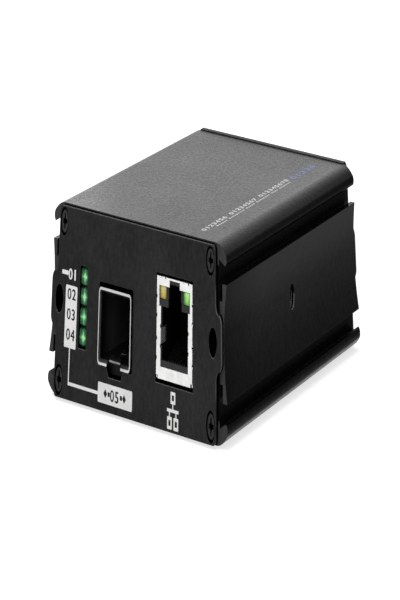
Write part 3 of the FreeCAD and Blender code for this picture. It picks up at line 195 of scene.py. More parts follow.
def blend(tree, share, first, second):
    made = add(tree, "Mix", data_type="RGBA")
    colour_sockets = [socket for socket in made.inputs if socket.type == "RGBA"]
    share_socket = [socket for socket in made.inputs if socket.type == "VALUE"][0]
    join(tree, share, share_socket)
    for socket, value in zip(colour_sockets, (first, second)):
        if isinstance(value, tuple):
            socket.default_value = (*value, 1.0)
        else:
            join(tree, value, socket)
    return [socket for socket in made.outputs if socket.type == "RGBA"][0]


def coordinate(tree, place, axis):
    parts = add(tree, "SeparateXYZ")
    join(tree, place, parts.inputs[0])
    return parts.outputs[axis]


def distance(tree, place, axis, middle=0.0):
    """How far a place lies from a middle along an axis."""
    along = coordinate(tree, place, axis)
    if middle:
        along = maths(tree, "SUBTRACT", along, middle)
    return maths(tree, "ABSOLUTE", along)


def within(tree, value, lowest, highest, soft):
    """1 between two values and 0 outside them, with soft ends."""
    above = ranged(tree, value, lowest, lowest + soft)
    below = ranged(tree, value, highest, highest - soft)
    return product(tree, above, below)


def true_normal(tree):
    return add(tree, "NewGeometry").outputs["Normal"]


def likeness(tree, normal, direction):
    """1 where a normal points as a direction or another normal does, and less where it turns away."""
    made = add(tree, "VectorMath", operation="DOT_PRODUCT")
    join(tree, normal, made.inputs[0])
    if isinstance(direction, tuple):
        made.inputs[1].default_value = direction
    else:
        join(tree, direction, made.inputs[1])
    return made.outputs["Value"]


def facing(tree, direction, start, end):
    """1 where the surface faces a direction, and 0 where it doesn't."""
    return ranged(tree, likeness(tree, true_normal(tree), direction), start, end)


# ---------------------------------------------------------------- painted shades, by place on the object
# Each function gives a painted shade or light: a function that makes the nodes of a mask and tells its
# tone.
# The two darkest tones of painted shade.
BLACK = (0.0012, 0.0012, 0.0012)
DEEP_SHADE = (0.0035, 0.0035, 0.0045)


def away_from_middle(axis, start, end, tone):
    """Sets in between two distances from the part's middle along an axis."""
    def shade(tree, place):
        return ranged(tree, distance(tree, place, axis), start, end), tone
    return shade


def screw_ring(clear, full):
    """Sets in between two distances from the nearest screw's axis; the screws stand at the corners."""
    def shade(tree, place):
        sideways = maths(tree, "SUBTRACT", distance(tree, place, "X"), screw_x)
        upward = maths(tree, "SUBTRACT", distance(tree, place, "Z", screws_middle), screw_rise)
        return ranged(tree, length(tree, sideways, upward), clear, full), BLACK
    return shade


def upright_slot(middle_x, half, lowest, highest, tone):
    """An upright recess between two heights."""
    def shade(tree, place):
        beside = ranged(tree, distance(tree, place, "X", middle_x), half, half * 0.94)
        tall = within(tree, coordinate(tree, place, "Z"), lowest, highest, 0.1 * MM)
        return product(tree, beside, tall), tone
    return shade


def roof(lowest, outer, tone):
    """A roof behind a front, above a height and nearer the part's middle than outer."""
    def shade(tree, place):
        above = ranged(tree, coordinate(tree, place, "Z"), lowest, lowest + 0.05 * MM)
        behind = ranged(tree, distance(tree, place, "Y"), outer, outer - 0.2 * MM)
        return product(tree, above, behind), tone
    return shade


def low_floor(start, end, tone):
    """Sets in between two distances from the part's middle, on faces that look up."""
    def shade(tree, place):
        deep = ranged(tree, distance(tree, place, "Y"), start, end)
        return product(tree, deep, facing(tree, UPWARD, 0.3, 0.7)), tone
    return shade


def wall_ends(outer, highest, tone):
    """The front ends of the side walls, nearer the middle than outer and between the lips."""
    def shade(tree, place):
        inside = ranged(tree, distance(tree, place, "X"), outer, outer - 0.1 * MM)
        between = ranged(tree, distance(tree, place, "Z", middle_z), highest, highest - 0.2 * MM)
        return product(tree, inside, between, facing(tree, FRONTWARD, 0.6, 0.8)), tone
    return shade


def side_hole(reach, tone, highest=9.0 * MM):
    """The wall of the holes in the sides, nearer the part's middle than reach. highest is measured
    from the hole's axis."""
    def shade(tree, place):
        rise = maths(tree, "SUBTRACT", coordinate(tree, place, "Z"), middle_z)
        off = length(tree, rise, coordinate(tree, place, "Y"))
        inside = ranged(tree, off, side_hole_radius + 0.06 * MM, side_hole_radius + 0.02 * MM)
        deep = ranged(tree, distance(tree, place, "X"), reach, reach - 0.1 * MM)
        low = ranged(tree, rise, highest, highest - 0.5 * MM)
        return product(tree, inside, deep, low), tone
    return shade


def outline_share(tree, place):
    """1 on the side faces of the plates' outline, and 0 in their openings."""
    across = coordinate(tree, place, "X")
    sideways = coordinate(tree, true_normal(tree), "X")
    outward = ranged(tree, product(tree, across, sideways), 6.0 * MM, 10.0 * MM)
    outside = ranged(tree, distance(tree, place, "X"), ear_hole_x + 0.3 * MM, ear_hole_x + 0.5 * MM)
    return product(tree, outward, outside)


def plate_openings(start, end, tone):
    """Sets in between two distances from the part's middle, in the plates' openings."""
    def shade(tree, place):
        deep = ranged(tree, distance(tree, place, "Y"), start, end)
        behind = ranged(tree, coordinate(tree, place, "Y"), 0.0, 1.0 * MM)
        high = ranged(tree, coordinate(tree, place, "Z"), case_high.z - 0.5 * MM, case_high.z)
        rear_edge = product(tree, behind, high)
        kept = maths(tree, "MAXIMUM", outline_share(tree, place), rear_edge)
        return product(tree, deep, maths(tree, "SUBTRACT", 1.0, kept)), tone
    return shade


def plate_outline(start, end, tone, half=20.0 * MM):
    """Sets in between two distances from the part's middle, on the plates' side faces. half is how
    far it reaches above and below mid-height."""
    def shade(tree, place):
        deep = ranged(tree, distance(tree, place, "Y"), start, end)
        near = ranged(tree, distance(tree, place, "Z", middle_z), half + 1.5 * MM, half)
        return product(tree, deep, outline_share(tree, place), near), tone
    return shade


def off_cut_end(tree):
    """0 on the case's cut front end, and 1 elsewhere."""
    return maths(tree, "SUBTRACT", 1.0, facing(tree, FRONTWARD, 0.3, 0.6))


def side_strip(inner, outer, lowest, highest, axis, start, end, share, tone):
    """Sets in between two places along an axis, between two heights of the sides. inner and
    outer are the distances from the part's middle where the side begins and where it's full."""
    def shade(tree, place):
        beside = ranged(tree, distance(tree, place, "X"), inner, outer, 0.0, share)
        tall = within(tree, coordinate(tree, place, "Z"), lowest, highest, 0.02 * MM)
        along = ranged(tree, coordinate(tree, place, axis), start, end)
        return product(tree, off_cut_end(tree), beside, tall, along), tone
    return shade


def band_faces(axis, start, end, share, tone):
    """Sets in between two places along an axis, on the hollow faces of the side bands."""
    return side_strip(band_x - 0.2 * MM, band_x, middle_z - band_half, middle_z + band_half,
                      axis, start, end, share, tone)


def upper_lips(axis, start, end, share, tone):
    """Sets in between two places along an axis, on the upper lips' noses."""
    return side_strip(lip_x, band_x, middle_z + groove_half - 0.5 * MM, case_high.z + 1.0 * MM,
                      axis, start, end, share, tone)


def upper_face(share, tone):
    """The top, as far as the lips roll over."""
    def shade(tree, place):
        high = ranged(tree, coordinate(tree, place, "Z"), case_high.z - 3.0 * MM,
                      case_high.z - 0.2 * MM, 0.0, share)
        return product(tree, high, facing(tree, UPWARD, 0.85, 0.99)), tone
    return shade


def side_grooves(share, tone):
    """The grooves above and below the side bands, as far as the noses of the lips."""
    def shade(tree, place):
        outside = ranged(tree, distance(tree, place, "X"), groove_x - 0.2 * MM, groove_x - 0.1 * MM,
                         0.0, share)
        rise = distance(tree, place, "Z", middle_z)
        beyond = ranged(tree, rise, band_half - 0.03 * MM, band_half - 0.01 * MM)
        short = ranged(tree, rise, groove_half + 0.5 * MM, groove_half)
        return product(tree, outside, beyond, short, off_cut_end(tree)), tone
    return shade


# ---------------------------------------------------------------- surfaces
DARK_STOP, LIGHT_STOP = 0.38, 0.62     # between these values a tone goes from dark to light
HIDING = 0.01                          # painted shades darker than this take the gloss away as well


def grains(tree, place, grain_mm, coarse, stretch):
    """A fine grain and one that is so many times as coarse, over each other."""
    spread = add(tree, "Mapping")
    join(tree, place, spread.inputs["Vector"])
    spread.inputs["Scale"].default_value = stretch
    fine = noise(tree, spread.outputs["Vector"], grain_mm, 2.0, 0.5)
    middling = noise(tree, spread.outputs["Vector"], grain_mm * coarse, 3.0, 0.6)
    return maths(tree, "ADD", product(tree, fine, 0.36), product(tree, middling, 0.64))


def rounded_normal(tree, edge_mm):
    rounded = add(tree, "Bevel", samples=4)
    rounded.inputs["Radius"].default_value = edge_mm * MM
    return rounded.outputs["Normal"]


def relief(tree, shader, height, strength, depth_mm, rounded):
    """Bumps on top of the rounded edges."""
    raised = add(tree, "Bump")
    raised.inputs["Strength"].default_value = strength
    raised.inputs["Distance"].default_value = depth_mm * MM
    join(tree, height, raised.inputs["Height"])
    join(tree, rounded, raised.inputs["Normal"])
    join(tree, raised.outputs["Normal"], shader.inputs["Normal"])


def worn_and_gleaming_edges(tree, place, rounded, most):
    """How much of an edge takes the lighter tone of wear and painted highlight: all along it, in patches.
    """
    edge = ranged(tree, likeness(tree, rounded, true_normal(tree)), 0.995, 0.90)
    patchy = ranged(tree, noise(tree, place, 1.3, 4.0, 0.65), 0.42, 0.62, 0.15, 1.0)
    return product(tree, edge, patchy, most)


def upward_edge_highlight(tree, rounded):
    """1 where an edge of a front face is rounded upwards, which takes a painted highlight."""
    upward = ranged(tree, likeness(tree, rounded, UPWARD), 0.10, 0.40)
    return product(tree, upward, facing(tree, FRONTWARD, 0.9, 0.98))


def shaded(tree, place, colour, shades):
    """A colour under painted shade and light, and how far it lies in painted shade that hides its gloss.
    """
    hidden = None
    for shade in shades:
        mask, tone = shade(tree, place)
        colour = blend(tree, mask, colour, tone)
        if max(tone) < HIDING:
            hidden = mask if hidden is None else maths(tree, "MAXIMUM", hidden, mask)
    return colour, hidden


def surface(name, dark, light, roughness, metallic=0.0, specular=0.5, grain_mm=0.25, relief_mm=0.01,
            patch_mm=14.0, wear_and_gleam=None, wear_and_gleam_share=0.6, edge_mm=0.12, stretch=(1.0, 1.0, 1.0),
            grain_share=0.5, bump=0.35, coarse=3.0, sheared=None, painted_edge_highlight=None, shades=()):
    """A coated, moulded or plated surface: grain, patches of tone and rounded edges lightened by wear and
    painted highlight. sheared holds the two tones of cut edges, which face the front; edges rounded
    upwards can take a painted highlight, and shades lay painted shade and light over the colour."""
    made, tree = empty_material(name)
    shader = add(tree, "BsdfPrincipled")
    show(tree, shader.outputs["BSDF"])
    place = add(tree, "TexCoord").outputs["Object"]
    rounded = rounded_normal(tree, edge_mm)
    grain = grains(tree, place, grain_mm, coarse, stretch)
    broad = noise(tree, place, patch_mm, 4.0, 0.55, 0.4)
    tone = maths(tree, "ADD", product(tree, grain, grain_share), product(tree, broad, 1.0 - grain_share))
    colour = ramp(tree, tone, (DARK_STOP, dark), (LIGHT_STOP, light))
    if wear_and_gleam is not None:
        colour = blend(tree, worn_and_gleaming_edges(tree, place, rounded, wear_and_gleam_share), colour, wear_and_gleam)
    if sheared is not None:
        bare = ramp(tree, tone, (DARK_STOP, sheared[0]), (LIGHT_STOP, sheared[1]))
        colour = blend(tree, facing(tree, FRONTWARD, 0.55, 0.85), colour, bare)
    if painted_edge_highlight is not None:
        colour = blend(tree, upward_edge_highlight(tree, rounded), colour, painted_edge_highlight)
    colour, hidden = shaded(tree, place, colour, shades)
    join(tree, colour, shader.inputs["Base Color"])
    join(tree, ranged(tree, tone, DARK_STOP, LIGHT_STOP, *roughness), shader.inputs["Roughness"])
    relief(tree, shader, grain, bump, relief_mm, rounded)
    shader.inputs["Metallic"].default_value = metallic
    shader.inputs["Specular IOR Level"].default_value = specular
    if hidden is not None:
        gloss = ranged(tree, hidden, 0.0, 1.0, specular, 0.0)
        join(tree, gloss, shader.inputs["Specular IOR Level"])
    return made


# ---------------------------------------------------------------- lamps
def painted_gleam(tree, across, upward):
    """A painted four-pointed gleam: grows from a middle outwards, and slowest along two crossed lines."""
    thin = 1.7
    level = maths(tree, "ADD", across, product(tree, upward, thin))
    upright = maths(tree, "ADD", upward, product(tree, across, thin))
    return maths(tree, "MINIMUM", level, upright)


def painted_light_from_top(tree, across, upward, height):
    """Painted light at a lamp's top: grows from the top downwards, and towards its sides and its foot."""
    dimmer = product(tree, maths(tree, "SUBTRACT", 0.9, height), 0.24)
    side = product(tree, maths(tree, "POWER", across, 2.0), 0.70)
    foot = product(tree, maths(tree, "POWER", upward, 6.0), 0.35)
    return maths(tree, "ADD", maths(tree, "ADD", dimmer, side), foot)


def lamp(name, deep, bright, core, face, reach, painted_glow=0.0, painted_top_light=False):
    """A tinted clear moulding with a painted four-pointed gleam or with painted light gathered at its top,
    and where asked with a faint painted glow; core is the painted highlight's colour. face is what
    front_face tells of it."""
    middle, half_width, half_height = face
    made, tree = empty_material(name)
    shader = add(tree, "BsdfPrincipled")
    show(tree, shader.outputs["BSDF"])
    place = add(tree, "TexCoord").outputs["Object"]
    spread = add(tree, "Mapping", vector_type="TEXTURE")
    join(tree, place, spread.inputs["Vector"])
    spread.inputs["Location"].default_value = middle
    spread.inputs["Scale"].default_value = (half_width, 1.0, half_height)
    on_face = spread.outputs["Vector"]
    # the painted gleam sits right of the lens's middle; light is how far a place lies from the painted
    # highlight
    gleam_x = 0.18
    across = distance(tree, on_face, "X", gleam_x)
    upward = distance(tree, on_face, "Z")
    if painted_top_light:
        light = painted_light_from_top(tree, across, upward, coordinate(tree, on_face, "Z"))
        cloudiness, core_stop = 0.3, 0.16
    else:
        light = painted_gleam(tree, across, upward)
        cloudiness, core_stop = 0.8, 0.22
    cloudy = noise(tree, place, 0.45, 3.0, 0.6)
    far = maths(tree, "ADD", product(tree, light, 1.0 / reach),
                product(tree, maths(tree, "SUBTRACT", cloudy, 0.5), cloudiness))
    colour = ramp(tree, far, (core_stop, core), (0.46, bright), (0.95, deep))
    # painted shade on the lens behind its front
    behind = ranged(tree, coordinate(tree, on_face, "Y"), 0.8 * MM, 2.0 * MM)
    colour = blend(tree, behind, colour, tuple(part * 0.08 for part in deep))
    join(tree, colour, shader.inputs["Base Color"])
    join(tree, ranged(tree, cloudy, 0.35, 0.65, 0.16, 0.30), shader.inputs["Roughness"])
    relief(tree, shader, cloudy, 0.25, 0.03, rounded_normal(tree, 0.15))
    shader.inputs["Specular IOR Level"].default_value = 0.3
    # a faint painted glow
    if painted_glow:
        join(tree, colour, shader.inputs["Emission Color"])
        shader.inputs["Emission Strength"].default_value = painted_glow
    return made


# ---------------------------------------------------------------- finishes
case_finish = surface(
    "case_anodised", (0.0040, 0.0038, 0.0037), (0.0125, 0.0122, 0.0119), (0.15, 0.28),
    specular=0.02, grain_mm=0.34, relief_mm=0.11, patch_mm=26.0,
    wear_and_gleam=(0.10, 0.10, 0.10), wear_and_gleam_share=0.45, edge_mm=0.16, grain_share=0.8, bump=0.8, coarse=3.4,
    sheared=((0.040, 0.040, 0.040), (0.062, 0.062, 0.062)),
    shades=(
        # painted light on the upper side bands; painted shade lower down and towards the front
        band_faces("Z", middle_z + 0.9 * MM, middle_z + 4.9 * MM, 0.60, (0.036, 0.036, 0.036)),
        band_faces("Z", middle_z + 0.4 * MM, middle_z - 7.6 * MM, 0.45, BLACK),
        band_faces("Y", -22.0 * MM, -48.0 * MM, 0.50, BLACK),
        # painted light: the top is kept lighter than the sides
        upper_face(0.70, (0.022, 0.022, 0.0218)),
        # painted shade on the upper lips' noses, darker downwards and towards the back
        upper_lips("Z", case_high.z + 0.1 * MM, case_high.z - 1.9 * MM, 0.60, BLACK),
        upper_lips("Y", -55.0 * MM, 45.0 * MM, 0.60, BLACK),
        # painted shade in the side grooves and on the side walls' front ends
        side_grooves(0.65, BLACK),
        wall_ends(groove_x + 0.3 * MM, groove_half - 0.4 * MM, (0.004, 0.004, 0.004)),
        # painted shade in the side holes; the bare countersunk edge and threads take a painted highlight
        # low down
        side_hole(case_high.x, BLACK),
        side_hole(case_high.x, (0.20, 0.20, 0.20), highest=0.5 * MM),
        side_hole(side_hole_edge, BLACK),
        side_hole(side_hole_threads, (0.30, 0.30, 0.30), highest=0.7 * MM)))
panel_finish = surface(
    "panel_powder_coat", (0.0110, 0.0110, 0.0112), (0.0290, 0.0290, 0.0294), (0.42, 0.60),
    specular=0.06, grain_mm=0.36, relief_mm=0.09, patch_mm=20.0,
    wear_and_gleam=(0.16, 0.16, 0.16), wear_and_gleam_share=0.7, edge_mm=0.16, grain_share=0.6, bump=0.8,
    # a painted highlight on edges rounded upwards
    painted_edge_highlight=(0.20, 0.20, 0.20),
    shades=(
        # painted shade in the countersinks and the openings
        screw_ring(ring_outer, ring_outer - 0.06 * MM),
        plate_openings(plate_face - 0.20 * MM, plate_face - 0.55 * MM, BLACK),
        # a painted highlight on the ears' side faces near the front, and painted shadow further back
        plate_outline(plate_face + 0.2 * MM, plate_face + 0.1 * MM, (0.11, 0.11, 0.11), half=6.0 * MM),
        plate_outline(plate_face - 0.55 * MM, plate_face - 0.85 * MM, BLACK)))
screw_finish = surface(
    "screw_black_oxide", (0.024, 0.024, 0.0245), (0.050, 0.050, 0.051), (0.30, 0.44),
    specular=0.05, grain_mm=0.35, relief_mm=0.012, patch_mm=3.0,
    wear_and_gleam=(0.11, 0.11, 0.115), wear_and_gleam_share=0.7, edge_mm=0.10,
    shades=(
        # painted shade in the cross recesses, around the heads' rims and in a pit at their middle
        away_from_middle("Y", screw_face, screw_face - 0.35 * MM, (0.0008, 0.0008, 0.0008)),
        screw_ring(1.48 * MM, 1.58 * MM),
        screw_ring(0.66 * MM, 0.50 * MM)))
board_finish = surface(
    "board_solder_mask", (0.003, 0.004, 0.0036), (0.008, 0.010, 0.009), (0.34, 0.48),
    specular=0.12, grain_mm=0.5, relief_mm=0.02, patch_mm=9.0,
    wear_and_gleam=(0.10, 0.085, 0.05), wear_and_gleam_share=0.4)
# The sheet's tone is kept dark as painted shade for the cage's inside; its front-facing cut edges stay
# bright.
cage_finish = surface(
    "cage_plated_sheet", (0.08, 0.08, 0.082), (0.15, 0.15, 0.152), (0.30, 0.44),
    metallic=0.7, grain_mm=0.20, relief_mm=0.002, patch_mm=5.0,
    wear_and_gleam=(0.30, 0.30, 0.295), wear_and_gleam_share=0.6, edge_mm=0.05, stretch=(1.0, 0.12, 1.0),
    sheared=((0.42, 0.42, 0.41), (0.60, 0.60, 0.59)),
    shades=(
        # painted shade just inside the mouth, easing back to the sheet's tone deeper in, and painted shade
        # on the floor
        away_from_middle("Y", cage_face - 0.4 * MM, cage_face - 1.2 * MM, (0.012, 0.012, 0.0125)),
        away_from_middle("Y", cage_face - 3.0 * MM, cage_face - 9.0 * MM, (0.15, 0.15, 0.152)),
        low_floor(cage_face - 0.8 * MM, cage_face - 2.0 * MM, (0.011, 0.011, 0.0115))))
crystal_finish = surface(
    "crystal_can", (0.50, 0.50, 0.49), (0.62, 0.62, 0.60), (0.26, 0.40),
    metallic=1.0, grain_mm=0.20, relief_mm=0.002, patch_mm=3.0, wear_and_gleam=(0.84, 0.84, 0.82))
tinned_finish = surface(
    "shield_tinned_sheet", (0.62, 0.62, 0.615), (0.78, 0.78, 0.77), (0.36, 0.50),
    metallic=0.85, grain_mm=0.30, relief_mm=0.003, patch_mm=4.0,
    wear_and_gleam=(0.95, 0.95, 0.94), wear_and_gleam_share=0.8, edge_mm=0.08, stretch=(0.3, 1.0, 1.0),
    shades=(
        # painted shade inside the shield, deeper in, and under its top
        away_from_middle("Y", shield_face - 0.5 * MM, shield_face - 1.2 * MM, (0.48, 0.48, 0.48)),
        roof(shield_top - 0.5 * MM, shield_face - 0.35 * MM, (0.02, 0.02, 0.02))))
# The gold is kept far darker than real gold, as painted shade for contacts deep in their sockets.
gold_in_painted_shade = surface(
    "contact_gold", (0.016, 0.015, 0.013), (0.030, 0.028, 0.023), (0.50, 0.62),
    metallic=1.0, grain_mm=0.2, relief_mm=0.002, patch_mm=2.0, edge_mm=0.03)
black_plastic = surface(
    "plastic_black", (0.008, 0.008, 0.008), (0.015, 0.015, 0.0155), (0.40, 0.56),
    specular=0.25, grain_mm=0.30, relief_mm=0.02, patch_mm=7.0,
    wear_and_gleam=(0.06, 0.06, 0.06), wear_and_gleam_share=0.5, edge_mm=0.10)
dark_plastic = surface(
    "plastic_dark_grey", (0.030, 0.030, 0.032), (0.048, 0.048, 0.051), (0.36, 0.50),
    specular=0.06, grain_mm=0.30, relief_mm=0.015, patch_mm=6.0,
    wear_and_gleam=(0.12, 0.12, 0.125), wear_and_gleam_share=0.5, edge_mm=0.10,
    shades=(
        # painted shade in the jack's opening and in the latch channel between the lamps
        away_from_middle("Y", insert_face - 0.1 * MM, insert_face - 0.9 * MM, DEEP_SHADE),
        upright_slot(latch_x, latch_half, lamps_low, shield_top - 1.05 * MM, DEEP_SHADE)))
chip_finish = surface(
    "chip_epoxy", (0.022, 0.022, 0.023), (0.036, 0.036, 0.038), (0.50, 0.66),
    grain_mm=0.18, relief_mm=0.02, patch_mm=3.0, wear_and_gleam=(0.09, 0.09, 0.09), edge_mm=0.08)
ferrite_finish = surface(
    "ferrite_pressed", (0.055, 0.055, 0.058), (0.095, 0.094, 0.098), (0.55, 0.75),
    grain_mm=0.25, relief_mm=0.03, patch_mm=2.0, wear_and_gleam=(0.18, 0.18, 0.19), edge_mm=0.10)
ceramic_finish = surface(
    "ceramic_fired", (0.42, 0.29, 0.17), (0.56, 0.41, 0.26), (0.42, 0.58),
    grain_mm=0.20, relief_mm=0.01, patch_mm=1.5, wear_and_gleam=(0.70, 0.60, 0.45), edge_mm=0.05)
can_finish = surface(
    "capacitor_can", (0.60, 0.60, 0.62), (0.76, 0.76, 0.78), (0.26, 0.40),
    metallic=1.0, grain_mm=0.25, relief_mm=0.006, patch_mm=3.0,
    wear_and_gleam=(0.92, 0.92, 0.93), edge_mm=0.12, stretch=(1.0, 1.0, 0.2))


def ink_finish(name, dark, light, specular=0.2):
    return surface(name, dark, light, (0.50, 0.64), specular=specular, grain_mm=0.22,
                   relief_mm=0.006, patch_mm=4.0, edge_mm=0.02)


white_ink = ink_finish("print_white_ink", (0.80, 0.80, 0.79), (0.88, 0.88, 0.87), specular=0.3)
grey_ink = ink_finish("print_grey_ink", (0.54, 0.54, 0.535), (0.68, 0.68, 0.675))
blue_ink = ink_finish("print_blue_ink", (0.14, 0.15, 0.36), (0.20, 0.21, 0.47))

finish_of = {
    "extruded_body": case_finish,
    "front_plate": panel_finish,
    "rear_plate": panel_finish,
    "front_screws": screw_finish,
    "rear_screws": screw_finish,
    "circuit_board": board_finish,
    "sfp_cage": cage_finish,
    "sfp_host_connector": black_plastic,
    "sfp_contacts": gold_in_painted_shade,
    "rj45_shield": tinned_finish,
    "rj45_insert": dark_plastic,
    "rj45_contacts": gold_in_painted_shade,
    "led_holder": black_plastic,
    "dc_jack": black_plastic,
    "dc_jack_pin": tinned_finish,
    "dc_jack_spring": tinned_finish,
    "bridge_chip": chip_finish,
    "lan_magnetics": chip_finish,
    "config_memory": chip_finish,
    "regulator_chip": chip_finish,
    "power_inductor": ferrite_finish,
    "crystal": crystal_finish,
    "ceramic_parts": ceramic_finish,
    "bulk_capacitor_1": can_finish,
    "bulk_capacitor_2": can_finish,
    "rj45_led_amber": lamp(
        "jack_lamp_amber", (0.12, 0.09, 0.02), (0.50, 0.365, 0.045), (0.64, 0.56, 0.25),
        amber_face, 1.0, painted_top_light=True),
    "rj45_led_green": lamp(
        "jack_lamp_green", (0.03, 0.16, 0.015), (0.13, 0.44, 0.035), (0.44, 0.74, 0.28),
        green_face, 1.0, painted_glow=0.12, painted_top_light=True),
}
for status_node in status_nodes:
    finish_of[status_node] = lamp(
        status_node + "_lens", (0.004, 0.045, 0.018), (0.045, 0.30, 0.085), (0.36, 0.74, 0.34),
        front_face(status_node), 1.45, painted_glow=0.2)
for name, finish in finish_of.items():
    nodes[name].data.materials.clear()
    nodes[name].data.materials.append(finish)


# ---------------------------------------------------------------- prints, in millimetres
# How a print lies on its face: its turn from the flat outline, the face's place, its thickness.
ON_FRONT = (Matrix(((1, 0, 0, 0), (0, 0, -1, 0), (0, 1, 0, 0), (0, 0, 0, 1))),
            Vector((0, -plate_face / MM, 0)), 0.02)
ON_TOP = (Matrix(((0, -1, 0, 0), (1, 0, 0, 0), (0, 0, 1, 0), (0, 0, 0, 1))),
          Vector((0, 0, case_high.z / MM)), 0.006)


def flat_shape(name, outlines, thickness):
    """A thin closed mesh inside outlines; an outline inside another is a hole in it."""
    flat = bpy.data.curves.new(name, "CURVE")
    flat.dimensions = "2D"
    flat.fill_mode = "BOTH"
    flat.extrude = thickness / 2
    for outline in outlines:
        spline = flat.splines.new("POLY")
        spline.points.add(len(outline) - 1)
        for point, (across, upward) in zip(spline.points, outline):
            point.co = (across, upward, 0.0, 1.0)
        spline.use_cyclic_u = True
    holder = bpy.data.objects.new(name + "_curve", flat)
    scene.collection.objects.link(holder)
    bpy.context.view_layer.update()
    shape = bpy.data.meshes.new_from_object(
        holder.evaluated_get(bpy.context.evaluated_depsgraph_get()))
    bpy.data.objects.remove(holder)
    bpy.data.curves.remove(flat)
    return shape


def ink(name, outlines, face, finish):
    """A printed shape, laid on a face of the part as a thin layer."""
    turn, place, thickness = face
    shape = flat_shape(name, outlines, thickness)
    work = bmesh.new()
    work.from_mesh(shape)
    bmesh.ops.remove_doubles(work, verts=work.verts, dist=0.0005)
    for move in (Matrix.Translation((0, 0, thickness / 2)), turn, Matrix.Translation(place)):
        bmesh.ops.transform(work, verts=work.verts, matrix=move)
    bmesh.ops.scale(work, verts=work.verts, vec=(MM, MM, MM))
    bmesh.ops.recalc_face_normals(work, faces=work.faces)
    work.to_mesh(shape)
    work.free()
    shape.name = name
    shape.materials.clear()
    shape.materials.append(finish)
    piece = bpy.data.objects.new(name, shape)
    scene.collection.objects.link(piece)
    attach(piece, "root")


def rounded_outline(left, low, right, high, corner, steps=4):
    """A closed rectangle outline with round corners."""
    points = []
    for centre, first in (((right - corner, high - corner), 0), ((left + corner, high - corner), 90),
                          ((left + corner, low + corner), 180), ((right - corner, low + corner), 270)):
        for step in range(steps + 1):
            turn = math.radians(first + 90 * step / steps)
            points.append((centre[0] + corner * math.cos(turn), centre[1] + corner * math.sin(turn)))
    return points


def diamond_outline(middle, height, half_width, half_height):
    return [(middle + half_width, height), (middle, height + half_height),
            (middle - half_width, height), (middle, height - half_height)]


def area(loop):
    """The area inside a closed outline, below zero where it runs clockwise."""
    return sum(a[0] * b[1] - b[0] * a[1] for a, b in zip(loop, loop[1:] + loop[:1])) / 2


def bold_outlines(loops, across, upward):
    """Outlines moved outwards and their holes a little inwards, which makes the strokes bolder."""
    outer = max((area(loop) for loop in loops), key=abs)
    sense = 1.0 if outer > 0 else -1.0
    moved = []
    for loop in loops:
        share = 1.0 if area(loop) * outer > 0 else 0.4
        here = []
        for before, point, after in zip(loop[-1:] + loop[:-1], loop, loop[1:] + loop[:1]):
            along = Vector((after[0] - before[0], after[1] - before[1])).normalized() * sense
            here.append((point[0] + along.y * across * share, point[1] - along.x * upward * share))
        moved.append(here)
    return moved


def flattened(spline, steps=4, nearest=0.02):
    """The points along a closed Bezier spline, without those that almost lie on each other."""
    points = []
    ends = list(spline.bezier_points)
    for here, then in zip(ends, ends[1:] + ends[:1]):
        a, b, c, d = here.co, here.handle_right, then.handle_left, then.co
        for t in (step / steps for step in range(steps)):
            p = a * (1 - t) ** 3 + b * 3 * t * (1 - t) ** 2 + c * 3 * t * t * (1 - t) + d * t ** 3
            if not points or (Vector(points[-1]) - p.xy).length > nearest:
                points.append((p.x, p.y))
    if (Vector(points[0]) - Vector(points[-1])).length < nearest:
        points.pop()
    return points


def numeral(digit, size, left, low, widened, bolder):
    """The outlines of a plain numeral in Blender's own font, widened and with bolder strokes."""
    words = bpy.data.curves.new("numeral", "FONT")
    words.body = digit
    words.size = size
    holder = bpy.data.objects.new("numeral", words)
    scene.collection.objects.link(holder)
    bpy.context.view_layer.update()
    bpy.ops.object.select_all(action="DESELECT")
    holder.select_set(True)
    bpy.context.view_layer.objects.active = holder
    bpy.ops.object.convert(target="CURVE")
    curve = holder.data
    loops = [flattened(spline) for spline in curve.splines]
    bpy.data.objects.remove(holder)
    bpy.data.curves.remove(curve)
    return [[(x * widened + left, y + low) for x, y in loop] for loop in bold_outlines(loops, *bolder)]


# ---------------------------------------------------------------- prints on the front plate
lamp_rows = [front_face(status_node)[0][2] / MM for status_node in status_nodes]
label_left, label_right = -32.55, -27.1
label_low, label_high = 6.63, 14.65
strip_left, strip_right = -16.1, -0.45
strip_low, strip_high = 1.14, 3.63
strip_middle = (strip_low + strip_high) / 2
patch_corner = 0.3
digit_height = 1.5
digit_size = digit_height * 1.34       # the font's size for numerals of this height
digit_pitch = 2.15
dash_half = 0.28


def dash(left, right, height):
    return rounded_outline(left, height - dash_half, right, height + dash_half, 0.1)


def number(digits, height, right_end):
    """A plain number that ends at right_end."""
    left = right_end - digit_pitch * len(digits)
    marks = []
    for place, digit in enumerate(digits):
        marks += numeral(digit, digit_size, left + place * digit_pitch, height - digit_height / 2,
                         1.75, bolder=(0.09, 0.03))
    return marks


def lamp_label():
    """A patch beside the three lower lamps, with their numbers left open in it."""
    marks = [rounded_outline(label_left, label_low, label_right, label_high, patch_corner)]
    for digits, row in zip(("02", "03", "04"), lamp_rows[1:]):
        marks += number(digits, row, label_right - 0.3)
    return marks


def first_lamp_words():
    """The uppermost lamp's number, with a dash before it."""
    right_end = label_right - 0.1
    left = right_end - 2 * digit_pitch
    return number("01", lamp_rows[0], right_end) + [dash(left - 3.15, left - 0.15, lamp_rows[0])]


def guide_line():
    """A line from the lamps' label down and across to the module's label."""
    half_line = 0.21
    x, z = -29.9, 2.2
    start, end = label_low - 0.02, strip_left - 0.02
    return [[(x - half_line, start), (x - half_line, z - half_line), (end, z - half_line),
             (end, z + half_line), (x + half_line, z + half_line), (x + half_line, start)]]


